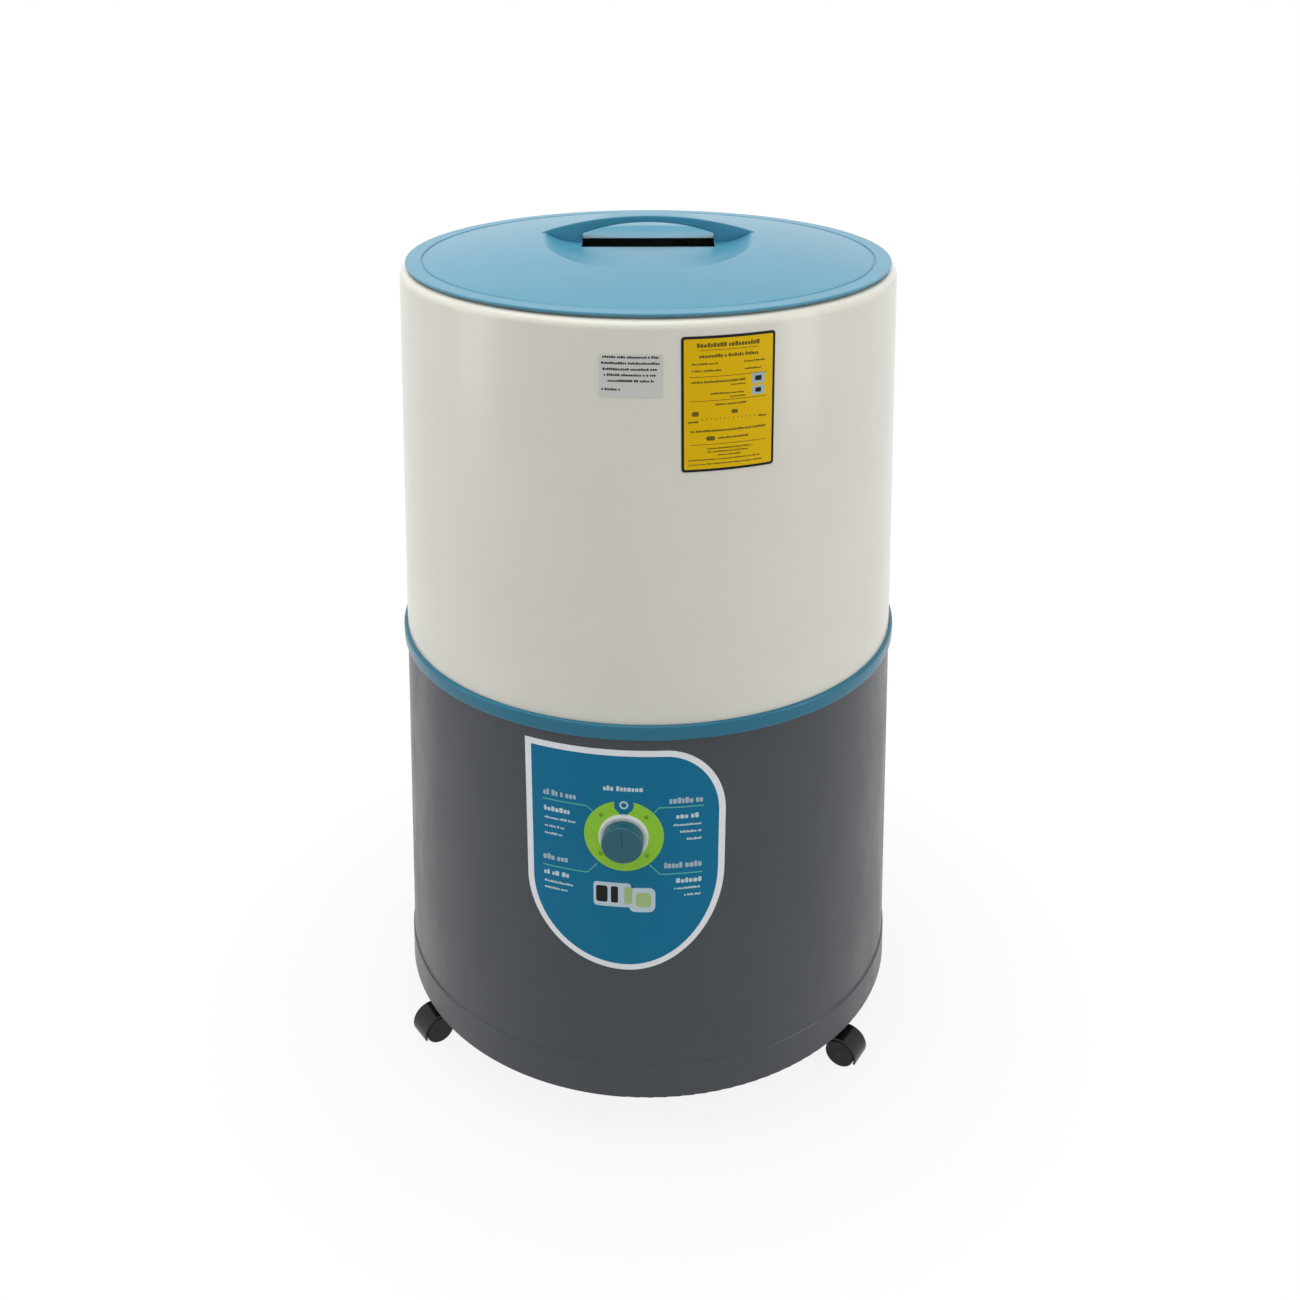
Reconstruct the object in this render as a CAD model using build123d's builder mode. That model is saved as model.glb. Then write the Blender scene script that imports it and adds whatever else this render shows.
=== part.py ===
from build123d import *
import math
import os

os.makedirs("parts", exist_ok=True)

# A round top-loading washer on four casters. Millimetres, +Z up, the origin on the floor
# below the tub's axis. The control panel faces -Y.

# Body, from the floor up
skirt_clearance = 58.0
skirt_height = 471.5
band_height = 18.0
tub_wall_height = 437.5
wall_radius_at_band = 298.8
wall_lean_angle = 2.13

band_bottom = skirt_clearance + skirt_height
band_top = band_bottom + band_height
rim_top = band_top + tub_wall_height

# Walls and general clearances
tub_wall = 3.0
skirt_wall = 2.5
seat_gap = 0.3
running_gap = 0.05
film_gap = 0.05
cut_overrun = 2.0


def wall_radius(height):
    """Outer radius of the leaning side wall at a height."""
    return wall_radius_at_band + (band_top - height) * math.tan(math.radians(wall_lean_angle))


def upright_plane(angle):
    """Vertical plane through the axis. Local x runs out towards angle, local y is up."""
    x, y, _ = heading(angle)
    return Plane(origin=(0, 0, 0), x_dir=(x, y, 0), z_dir=(y, -x, 0))


def facing_plane(angle, radius, height):
    """Plane square to the direction angle, its normal pointing out. Angle 0 is the front."""
    x, y, _ = heading(angle)
    return Plane(origin=(radius * x, radius * y, height), x_dir=(-y, x, 0), z_dir=(x, y, 0))


def heading(angle):
    """Level direction at an angle from the front, counted towards +X."""
    a = math.radians(angle)
    return (math.sin(a), -math.cos(a), 0)


def level_place(angle, radius, height):
    """Point at a direction, radius and height."""
    x, y, _ = heading(angle)
    return (radius * x, radius * y, height)


def round_corner(sketch, point, radius):
    """Rounds the sketch's corner nearest to point."""
    corner = min(sketch.vertices(), key=lambda v: math.dist((v.X, v.Y), point))
    fillet(corner, radius)


def finish(shape, name):
    """Labels a piece and writes it."""
    shape.label = name
    export_step(shape, "parts/" + name + ".step")


# Trim band between the skirt and the tub
band_stand_out = 4.6
band_round = 3.0
band_pocket_depth = 6.0
band_web = 3.0
band_web_width = 11.0
web_bottom = band_bottom + band_pocket_depth
web_top = web_bottom + band_web
band_radius = wall_radius(band_top) + band_stand_out
web_inner_radius = wall_radius(web_top) - band_web_width

with BuildPart() as trim_band:
    with BuildSketch(Plane.XZ) as band_section:
        with BuildLine():
            Polyline(
                (band_radius, band_bottom),
                (band_radius, band_top),
                (wall_radius(band_top) + seat_gap, band_top),
                (wall_radius(web_top) + seat_gap, web_top),
                (web_inner_radius, web_top),
                (web_inner_radius, web_bottom),
                (wall_radius(web_bottom) + seat_gap, web_bottom),
                (wall_radius(band_bottom) + seat_gap, band_bottom),
                close=True,
            )
        make_face()
        round_corner(band_section, (band_radius, band_bottom), band_round)
        round_corner(band_section, (band_radius, band_top), band_round)
    revolve(axis=Axis.Z)

# Screws that hold skirt, band and tub together, up through the skirt's top flange
band_screw_count = 8
band_screw_radius = 1.9
band_screw_head_radius = 3.8
band_screw_head = 2.6
band_screw_circle_radius = web_inner_radius + band_web_width / 3
skirt_top_flange = 3.0
tub_step = 8.0
band_screw_length = skirt_top_flange + band_web + tub_step * 0.75

with BuildPart() as band_holes:
    with BuildSketch(Plane.XY.offset(web_bottom - skirt_top_flange - cut_overrun)):
        with PolarLocations(band_screw_circle_radius, band_screw_count):
            Circle(band_screw_radius + running_gap)
    extrude(amount=band_screw_length + cut_overrun + seat_gap)

with trim_band:
    add(band_holes.part, mode=Mode.SUBTRACT)

with BuildPart() as band_screws:
    with BuildSketch(Plane.XY.offset(web_bottom - skirt_top_flange)):
        with PolarLocations(band_screw_circle_radius, band_screw_count):
            Circle(band_screw_radius)
    extrude(amount=band_screw_length)
    with BuildSketch(Plane.XY.offset(web_bottom - skirt_top_flange - band_screw_head)):
        with PolarLocations(band_screw_circle_radius, band_screw_count):
            Circle(band_screw_head_radius)
    extrude(amount=band_screw_head)

# Wash tub: one shell whose wall is the white outside of the machine
rim_shoulder = 10.0
rim_width = 18.5
rim_inner_radius = wall_radius(rim_top) - rim_width
seat_rib_width = 5.0
seat_rib = 1.7
rim_turn_down = 10.0
tub_step_inner_radius = web_inner_radius - seat_gap - tub_wall
tub_floor_drop = 38.5
tub_floor = 3.5
tub_floor_round = 34.0
tub_underside = web_top - tub_floor_drop
tub_floor_top = tub_underside + tub_floor
hub_radius = 62.0
hub_rise = 11.5
hub_top = tub_floor_top + hub_rise
hub_round = 8.0
shaft_radius = 8.5
seal_outer_radius = 19.0
shoulder_height = rim_top - rim_shoulder
shoulder_radius = wall_radius(shoulder_height)
tub_low_radius = tub_step_inner_radius + tub_wall

with BuildPart() as wash_tub:
    with BuildSketch(Plane.XZ) as tub_section:
        with BuildLine():
            Line((wall_radius(web_top), web_top), (shoulder_radius, shoulder_height))
            RadiusArc((shoulder_radius, shoulder_height),
                      (shoulder_radius - rim_shoulder, rim_top), -rim_shoulder)
            Polyline(
                (shoulder_radius - rim_shoulder, rim_top),
                (rim_inner_radius + seat_rib_width, rim_top),
                (rim_inner_radius + seat_rib_width, rim_top + seat_rib),
                (rim_inner_radius, rim_top + seat_rib),
                (rim_inner_radius, rim_top - rim_turn_down),
                (rim_inner_radius + tub_wall, rim_top - rim_turn_down),
                (rim_inner_radius + tub_wall, rim_top - tub_wall),
                (shoulder_radius - rim_shoulder, rim_top - tub_wall),
            )
            RadiusArc((shoulder_radius - rim_shoulder, rim_top - tub_wall),
                      (shoulder_radius - tub_wall, shoulder_height), rim_shoulder - tub_wall)
            Polyline(
                (shoulder_radius - tub_wall, shoulder_height),
                (wall_radius(web_top + tub_step) - tub_wall, web_top + tub_step),
                (tub_step_inner_radius, web_top + tub_step),
                (tub_step_inner_radius, tub_floor_top),
                (hub_radius, tub_floor_top),
                (hub_radius, hub_top),
                (seal_outer_radius, hub_top),
                (seal_outer_radius, tub_underside),
                (tub_low_radius, tub_underside),
                (tub_low_radius, web_top),
                (wall_radius(web_top), web_top),
            )
        make_face()
        round_corner(tub_section, (tub_step_inner_radius, tub_floor_top), tub_floor_round - tub_wall)
        round_corner(tub_section, (tub_low_radius, tub_underside), tub_floor_round)
        round_corner(tub_section, (hub_radius, hub_top), hub_round)
    revolve(axis=Axis.Z)
    add(band_holes.part, mode=Mode.SUBTRACT)

# Drain fitting in the tub's floor
drain_angle = 160.0
drain_radius = 205.0
drain_hole_radius = 19.0
drain_flange_radius = 26.0
drain_flange = 2.5
drain_spigot_radius = 14.0
drain_bore_radius = 11.0
drain_spigot_length = 42.0
drain_nut_height = 9.0
drain_nut_radius = 27.0
drain_body_drop = 12.0

with wash_tub:
    with BuildSketch(Plane.XY.offset(tub_underside - cut_overrun)):
        with Locations(level_place(drain_angle, drain_radius, 0)[:2]):
            Circle(drain_hole_radius + seat_gap)
    extrude(amount=tub_floor + 2 * cut_overrun, mode=Mode.SUBTRACT)

drain_x, drain_y, _ = level_place(drain_angle, drain_radius, 0)
spigot_bottom = tub_underside - drain_body_drop - drain_spigot_length

with BuildPart() as drain_fitting:
    with BuildSketch(Plane.XY.offset(tub_floor_top)):
        with Locations((drain_x, drain_y)):
            Circle(drain_flange_radius)
    extrude(amount=drain_flange)
    with BuildSketch(Plane.XY.offset(tub_underside - drain_body_drop)):
        with Locations((drain_x, drain_y)):
            Circle(drain_hole_radius)
    extrude(amount=tub_floor + drain_body_drop)
    with BuildSketch(Plane.XY.offset(spigot_bottom)):
        with Locations((drain_x, drain_y)):
            Circle(drain_spigot_radius)
    extrude(amount=drain_spigot_length)
    with BuildSketch(Plane.XY.offset(spigot_bottom - cut_overrun)):
        with Locations((drain_x, drain_y)):
            Circle(drain_bore_radius)
    extrude(amount=drain_spigot_length + drain_body_drop + 3 * tub_floor, mode=Mode.SUBTRACT)

with BuildPart() as drain_nut:
    with BuildSketch(Plane.XY.offset(tub_underside - drain_nut_height)):
        with Locations((drain_x, drain_y)):
            RegularPolygon(drain_nut_radius, 6)
            Circle(drain_hole_radius + running_gap, mode=Mode.SUBTRACT)
    extrude(amount=drain_nut_height)

strainer_thickness = 1.5
strainer_hole_radius = 2.5
strainer_hole_circle_radius = 14.0
strainer_hole_count = 10

with BuildPart() as drain_strainer:
    with BuildSketch(Plane.XY.offset(tub_floor_top + drain_flange)):
        with Locations((drain_x, drain_y)):
            Circle(drain_flange_radius)
            with PolarLocations(strainer_hole_circle_radius, strainer_hole_count):
                Circle(strainer_hole_radius, mode=Mode.SUBTRACT)
            with PolarLocations(strainer_hole_circle_radius / 2, strainer_hole_count // 2):
                Circle(strainer_hole_radius, mode=Mode.SUBTRACT)
    extrude(amount=strainer_thickness)

# Agitator on the drive shaft
agitator_radius = 168.0
agitator_lift = 4.0
agitator_edge = 5.0
agitator_skirt_rise = 26.0
agitator_hub_radius = 34.0
agitator_hub_top_radius = 24.0
agitator_hub_rise = 92.0
agitator_bottom = hub_top + agitator_lift
vane_count = 4
vane_thickness = 12.0
vane_reach = 158.0
vane_rise = 74.0
vane_tip_rise = 22.0
agitator_hub_bore = 60.0
agitator_top = agitator_bottom + agitator_hub_rise

with BuildPart() as agitator:
    with BuildSketch(Plane.XZ):
        with BuildLine():
            Polyline(
                (0, agitator_bottom),
                (agitator_radius, agitator_bottom),
                (agitator_radius, agitator_bottom + agitator_edge),
                (agitator_hub_radius, agitator_bottom + agitator_skirt_rise),
                (agitator_hub_top_radius, agitator_top),
                (0, agitator_top),
                close=True,
            )
        make_face()
    revolve(axis=Axis.Z)
    for turn in range(vane_count):
        with BuildSketch(upright_plane(turn * 360 / vane_count)):
            with BuildLine():
                Line((0, agitator_bottom + agitator_edge),
                     (vane_reach, agitator_bottom + agitator_edge))
                Line((vane_reach, agitator_bottom + agitator_edge),
                     (vane_reach, agitator_bottom + vane_tip_rise))
                RadiusArc((vane_reach, agitator_bottom + vane_tip_rise),
                          (0, agitator_bottom + vane_rise), agitator_radius * 1.4)
                Line((0, agitator_bottom + vane_rise), (0, agitator_bottom + agitator_edge))
            make_face()
        extrude(amount=vane_thickness / 2, both=True)
    with BuildSketch(Plane.XY.offset(agitator_bottom)):
        Circle(shaft_radius + running_gap)
    extrude(amount=agitator_hub_bore, mode=Mode.SUBTRACT)

agitator_cap_height = 14.0
agitator_cap_round = 6.0
agitator_screw_radius = 4.0
agitator_screw_length = 40.0
shaft_bottom = 325.0
shaft_top = agitator_bottom + agitator_hub_bore - seat_gap

with agitator:
    with BuildSketch(Plane.XY.offset(shaft_top - cut_overrun)):
        Circle(agitator_screw_radius + running_gap)
    extrude(amount=agitator_top - shaft_top + 2 * cut_overrun, mode=Mode.SUBTRACT)

with BuildPart() as agitator_cap:
    with BuildSketch(Plane.XY.offset(agitator_top)):
        Circle(agitator_hub_top_radius)
    extrude(amount=agitator_cap_height)
    fillet(agitator_cap.edges().group_by(Axis.Z)[-1], agitator_cap_round)
    with BuildSketch(Plane.XY.offset(agitator_top - agitator_screw_length)):
        Circle(agitator_screw_radius)
    extrude(amount=agitator_screw_length)

with BuildPart() as drive_shaft:
    with BuildSketch(Plane.XY.offset(shaft_bottom)):
        Circle(shaft_radius)
    extrude(amount=shaft_top - shaft_bottom)
    with BuildSketch(Plane.XY.offset(agitator_top - agitator_screw_length - seat_gap)):
        Circle(agitator_screw_radius + running_gap)
    extrude(amount=agitator_screw_length, mode=Mode.SUBTRACT)

seal_height = 10.0
with BuildPart() as shaft_seal:
    with BuildSketch(Plane.XY.offset(hub_top - seal_height)):
        Circle(seal_outer_radius - running_gap)
        Circle(shaft_radius + running_gap, mode=Mode.SUBTRACT)
    extrude(amount=seal_height)

# Bearing housing under the tub's hub
housing_flange_radius = 56.0
housing_flange = 8.0
housing_tube_radius = 27.0
housing_length = 92.0
bearing_outer_radius = 20.0
bearing_height = 12.0
bearing_shoulder = 4.0
housing_bore_radius = bearing_outer_radius - bearing_shoulder
housing_bottom = tub_underside - housing_length
frame_bolt_circle_radius = 42.0
frame_bolt_count = 4
frame_bolt_radius = 3.0

with BuildPart() as bearing_housing:
    with BuildSketch(Plane.XY.offset(tub_underside - housing_flange)):
        Circle(housing_flange_radius)
        with PolarLocations(frame_bolt_circle_radius, frame_bolt_count):
            Circle(frame_bolt_radius + running_gap, mode=Mode.SUBTRACT)
    extrude(amount=housing_flange)
    with BuildSketch(Plane.XY.offset(housing_bottom)):
        Circle(housing_tube_radius)
    extrude(amount=housing_length - housing_flange)
    with BuildSketch(Plane.XY.offset(housing_bottom)):
        Circle(housing_bore_radius)
    extrude(amount=housing_length, mode=Mode.SUBTRACT)
    with BuildSketch(Plane.XY.offset(housing_bottom)):
        Circle(bearing_outer_radius + running_gap)
    extrude(amount=bearing_height, mode=Mode.SUBTRACT)
    with BuildSketch(Plane.XY.offset(tub_underside - bearing_height)):
        Circle(bearing_outer_radius + running_gap)
    extrude(amount=bearing_height, mode=Mode.SUBTRACT)

for bearing_name, bearing_bottom in (("lower_bearing", housing_bottom),
                                     ("upper_bearing", tub_underside - bearing_height)):
    with BuildPart() as bearing:
        with BuildSketch(Plane.XY.offset(bearing_bottom)):
            Circle(bearing_outer_radius)
            Circle(shaft_radius + running_gap, mode=Mode.SUBTRACT)
        extrude(amount=bearing_height)
    finish(bearing.part, bearing_name)

# Drive frame, a folded steel channel that carries the motor beside the hub
motor_angle = -125.0
belt_centres = 172.0
frame_thickness = 3.5
frame_fold = 16.0
frame_short_end = 118.0
frame_end_margin = 68.0
frame_long_end = belt_centres + frame_end_margin
frame_top = tub_underside - housing_flange
frame_bottom = frame_top - frame_thickness
motor_x, motor_y, _ = level_place(motor_angle, belt_centres, 0)
motor_post_spacing = 100.0
motor_bolt_radius = 3.0
frame_side_margin = 16.0
frame_width = motor_post_spacing + 2 * frame_side_margin
frame_plane = Plane(origin=(0, 0, 0), x_dir=heading(motor_angle), z_dir=(0, 0, 1))
frame_length = frame_long_end + frame_short_end
frame_middle = (frame_long_end - frame_short_end) / 2

with BuildPart() as drive_frame:
    with BuildSketch(frame_plane.offset(frame_bottom)):
        with Locations((frame_middle, 0)):
            RectangleRounded(frame_length, frame_width, frame_fold)
        Circle(housing_tube_radius + seat_gap, mode=Mode.SUBTRACT)
        with Locations((belt_centres, 0)):
            with GridLocations(motor_post_spacing, motor_post_spacing, 2, 2):
                Circle(motor_bolt_radius + running_gap, mode=Mode.SUBTRACT)
    extrude(amount=frame_thickness)
    with BuildSketch(frame_plane.offset(frame_bottom - frame_fold)):
        with Locations((frame_middle, 0)):
            with GridLocations(0, frame_width - frame_thickness, 1, 2):
                Rectangle(frame_length - 2 * frame_fold, frame_thickness)
    extrude(amount=frame_fold)
    with BuildSketch(Plane.XY.offset(frame_bottom - cut_overrun)):
        with PolarLocations(frame_bolt_circle_radius, frame_bolt_count):
            Circle(frame_bolt_radius + running_gap)
    extrude(amount=frame_thickness + 2 * cut_overrun, mode=Mode.SUBTRACT)

frame_bolt_head_radius = 5.5
frame_bolt_head = 4.0
frame_bolt_grip = frame_thickness + housing_flange + hub_rise - seat_gap

with wash_tub:
    with BuildSketch(Plane.XY.offset(tub_underside)):
        with PolarLocations(frame_bolt_circle_radius, frame_bolt_count):
            Circle(frame_bolt_radius + running_gap)
    extrude(amount=hub_rise, mode=Mode.SUBTRACT)

with BuildPart() as frame_bolts:
    with BuildSketch(Plane.XY.offset(frame_bottom)):
        with PolarLocations(frame_bolt_circle_radius, frame_bolt_count):
            Circle(frame_bolt_radius)
    extrude(amount=frame_bolt_grip)
    with BuildSketch(Plane.XY.offset(frame_bottom - frame_bolt_head)):
        with PolarLocations(frame_bolt_circle_radius, frame_bolt_count):
            RegularPolygon(frame_bolt_head_radius, 6)
    extrude(amount=frame_bolt_head)

# Motor, hung on four rubber mounts with its shaft down
motor_radius = 62.0
motor_plate_margin = 11.0
motor_plate_size = motor_post_spacing + 2 * motor_plate_margin
motor_plate = 5.0
motor_length = 96.0
motor_bell_radius = 50.0
motor_bell = 9.0
motor_bell_round = 4.0
mount_height = 14.0
mount_radius = 8.5
motor_shaft_radius = 6.0
motor_shaft_drop = 46.0
motor_plate_top = frame_bottom - mount_height
motor_bottom = motor_plate_top - motor_plate - motor_length
terminal_width = 34.0
terminal_depth = 14.0
terminal_height = 26.0
lead_height_share = 0.45
terminal_middle = motor_bottom + motor_length * lead_height_share
motor_place = (motor_x, motor_y)
mount_plane = Plane(origin=(motor_x, motor_y, 0), x_dir=heading(motor_angle),
                    z_dir=(0, 0, 1))
terminal_x = motor_x - motor_radius - terminal_depth / 2

with BuildPart() as motor_body:
    with BuildSketch(mount_plane.offset(motor_plate_top - motor_plate)):
        RectangleRounded(motor_plate_size, motor_plate_size, mount_radius)
        with GridLocations(motor_post_spacing, motor_post_spacing, 2, 2):
            Circle(motor_bolt_radius + running_gap, mode=Mode.SUBTRACT)
    extrude(amount=motor_plate)
    with BuildSketch(mount_plane.offset(motor_bottom)):
        Circle(motor_radius)
    extrude(amount=motor_length)
    with BuildSketch(mount_plane.offset(motor_bottom - motor_bell)):
        Circle(motor_bell_radius)
    extrude(amount=motor_bell)
    fillet(motor_body.edges().group_by(Axis.Z)[0], motor_bell_round)
    with BuildSketch(Plane.XY.offset(terminal_middle - terminal_height / 2)):
        with Locations((motor_x - motor_radius, motor_y)):
            Rectangle(2 * terminal_depth, terminal_width)
    extrude(amount=terminal_height)
    with BuildSketch(mount_plane.offset(motor_bottom - motor_bell)):
        Circle(motor_shaft_radius + running_gap)
    extrude(amount=motor_length, mode=Mode.SUBTRACT)

with BuildPart() as motor_mounts:
    with BuildSketch(mount_plane.offset(motor_plate_top)):
        with GridLocations(motor_post_spacing, motor_post_spacing, 2, 2):
            Circle(mount_radius)
            Circle(motor_bolt_radius + running_gap, mode=Mode.SUBTRACT)
    extrude(amount=mount_height)

motor_bolt_head = 3.5
motor_bolt_head_radius = 5.5
with BuildPart() as motor_bolts:
    with BuildSketch(mount_plane.offset(motor_plate_top - motor_plate - motor_bolt_head)):
        with GridLocations(motor_post_spacing, motor_post_spacing, 2, 2):
            RegularPolygon(motor_bolt_head_radius, 6)
    extrude(amount=motor_bolt_head)
    with BuildSketch(mount_plane.offset(motor_plate_top - motor_plate)):
        with GridLocations(motor_post_spacing, motor_post_spacing, 2, 2):
            Circle(motor_bolt_radius)
    extrude(amount=motor_plate + mount_height + frame_thickness)

with BuildPart() as motor_shaft:
    with BuildSketch(mount_plane.offset(motor_bottom - motor_bell - motor_shaft_drop)):
        Circle(motor_shaft_radius)
    extrude(amount=motor_shaft_drop + motor_length / 2)

# Belt drive
pulley_height = 18.0
belt_width = 9.0
belt_depth = 7.0
groove_depth = 8.0
pulley_lift = 22.0
groove_width = belt_width + 4 * seat_gap
driven_pulley_radius = 112.0
motor_pulley_radius = 30.0
pulley_middle = shaft_bottom + pulley_lift
driven_hub_radius = 20.0
driven_hub_height = 30.0
driven_rim = 16.0
driven_web = 5.0
lightening_hole_radius = 20.0
lightening_hole_count = 6
driven_floor_radius = driven_pulley_radius - groove_depth
motor_floor_radius = motor_pulley_radius - groove_depth


def pulley_outline(radius, bore, hub_radius, rim, web):
    """Corners of a grooved pulley's half section, its height centred on zero."""
    half = pulley_height / 2
    return [
        (bore, -driven_hub_height / 2),
        (hub_radius, -driven_hub_height / 2),
        (hub_radius, -web / 2),
        (radius - rim, -web / 2),
        (radius - rim, -half),
        (radius, -half),
        (radius, -groove_width / 2),
        (radius - groove_depth, -groove_width / 2),
        (radius - groove_depth, groove_width / 2),
        (radius, groove_width / 2),
        (radius, half),
        (radius - rim, half),
        (radius - rim, web / 2),
        (hub_radius, web / 2),
        (hub_radius, driven_hub_height / 2),
        (bore, driven_hub_height / 2),
    ]


with BuildPart() as driven_pulley:
    with BuildSketch(Plane(origin=(0, 0, pulley_middle), x_dir=(1, 0, 0), z_dir=(0, -1, 0))):
        with BuildLine():
            Polyline(pulley_outline(driven_pulley_radius, shaft_radius + running_gap,
                                    driven_hub_radius, driven_rim, driven_web), close=True)
        make_face()
    revolve(axis=Axis.Z)
    with BuildSketch(Plane.XY.offset(pulley_middle - driven_web)):
        with PolarLocations((driven_hub_radius + driven_pulley_radius - driven_rim) / 2,
                            lightening_hole_count):
            Circle(lightening_hole_radius)
    extrude(amount=2 * driven_web, mode=Mode.SUBTRACT)

motor_hub_radius = 14.0
motor_rim = 12.0
with BuildPart() as motor_pulley:
    with BuildSketch(Plane(origin=(motor_x, motor_y, pulley_middle), x_dir=(1, 0, 0),
                           z_dir=(0, -1, 0))):
        with BuildLine():
            Polyline(pulley_outline(motor_pulley_radius, motor_shaft_radius + running_gap,
                                    motor_hub_radius, motor_rim, driven_web), close=True)
        make_face()
    revolve(axis=Axis((motor_x, motor_y, 0), (0, 0, 1)))

nut_height = 8.0
nut_radius = 13.0
with BuildPart() as pulley_nut:
    with BuildSketch(Plane.XY.offset(pulley_middle - driven_hub_height / 2 - nut_height)):
        RegularPolygon(nut_radius, 6)
        Circle(shaft_radius + running_gap, mode=Mode.SUBTRACT)
    extrude(amount=nut_height)

belt_inner_driven = driven_floor_radius + seat_gap
belt_inner_motor = motor_floor_radius + seat_gap
with BuildSketch(Plane.XY.offset(pulley_middle - belt_width / 2)) as belt_inside:
    Circle(belt_inner_driven)
    with Locations(motor_place):
        Circle(belt_inner_motor)
    make_hull()

with BuildPart() as drive_belt:
    with BuildSketch(Plane.XY.offset(pulley_middle - belt_width / 2)):
        Circle(belt_inner_driven + belt_depth)
        with Locations(motor_place):
            Circle(belt_inner_motor + belt_depth)
        make_hull()
        add(belt_inside.sketch_local, mode=Mode.SUBTRACT)
    extrude(amount=belt_width)

# Capacitor, clipped under the frame's short end
capacitor_radius = 19.0
capacitor_length = 68.0
capacitor_offset = 84.0
clip_wall = 2.0
clip_height = 22.0
capacitor_terminal_radius = 3.0
capacitor_terminal_length = 8.0
capacitor_plane = Plane(origin=level_place(motor_angle + 180, capacitor_offset, 0),
                        x_dir=heading(motor_angle), z_dir=(0, 0, 1))
capacitor_top = frame_bottom - clip_wall

with BuildPart() as capacitor:
    with BuildSketch(capacitor_plane.offset(capacitor_top - capacitor_length)):
        Circle(capacitor_radius)
    extrude(amount=capacitor_length)
    with BuildSketch(capacitor_plane.offset(capacitor_top - capacitor_length
                                            - capacitor_terminal_length)):
        with GridLocations(capacitor_radius, 0, 2, 1):
            Circle(capacitor_terminal_radius)
    extrude(amount=capacitor_terminal_length)

with BuildPart() as capacitor_clip:
    with BuildSketch(capacitor_plane.offset(frame_bottom - clip_height)):
        Circle(capacitor_radius + running_gap + clip_wall)
        Circle(capacitor_radius + running_gap, mode=Mode.SUBTRACT)
    extrude(amount=clip_height - clip_wall)
    with BuildSketch(capacitor_plane.offset(frame_bottom - clip_wall)):
        Circle(capacitor_radius + running_gap + clip_wall)
    extrude(amount=clip_wall)

# Skirt, the grey lower shell
knob_drop = 137.0
knob_height = band_top - knob_drop
lip_height = 45.0
lip_stand_out = 1.6
lip_step = 2.0
foot_flange_lift = 8.0
foot_flange = 3.0
foot_flange_width = 11.0
pan_thickness = 4.0
crease_height = skirt_clearance + lip_height
pan_bottom = skirt_clearance + foot_flange_lift - pan_thickness
flange_bottom = pan_bottom + pan_thickness
flange_inner_radius = wall_radius(flange_bottom) - skirt_wall - foot_flange_width
skirt_top = web_bottom
panel_hole_radius = 13.0
outlet_angle = drain_angle
outlet_height = 132.0
outlet_hole_radius = 18.0
gland_angle = 198.0
gland_body_size = 16.4
gland_body_round = 2.0
vent_length = 70.0
vent_width = 5.0
vent_pitch = 14.0
vent_column_pitch = 90.0
vent_rows = 6
vent_height = 400.0
pad_width = 16.0
pad_spacing = 76.0
pad_height = 22.0
pad_depth = 19.9
bracket_face_radius = wall_radius(knob_height) - pad_depth


def lip_radius(height):
    """Outer radius of the flared lip at a height."""
    return wall_radius(height) + lip_stand_out


with BuildPart() as timer_pads:
    with BuildSketch(facing_plane(0, bracket_face_radius, knob_height)):
        with GridLocations(pad_spacing, 0, 2, 1):
            Rectangle(pad_width, pad_height)
    extrude(amount=wall_radius(knob_height) - bracket_face_radius)
    with BuildSketch(Plane.XZ):
        with BuildLine():
            Polyline(
                (0, crease_height),
                (wall_radius(crease_height) - skirt_wall / 2, crease_height),
                (wall_radius(skirt_top) - skirt_wall / 2, skirt_top),
                (0, skirt_top),
                close=True,
            )
        make_face()
    revolve(axis=Axis.Z, mode=Mode.INTERSECT)

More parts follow.
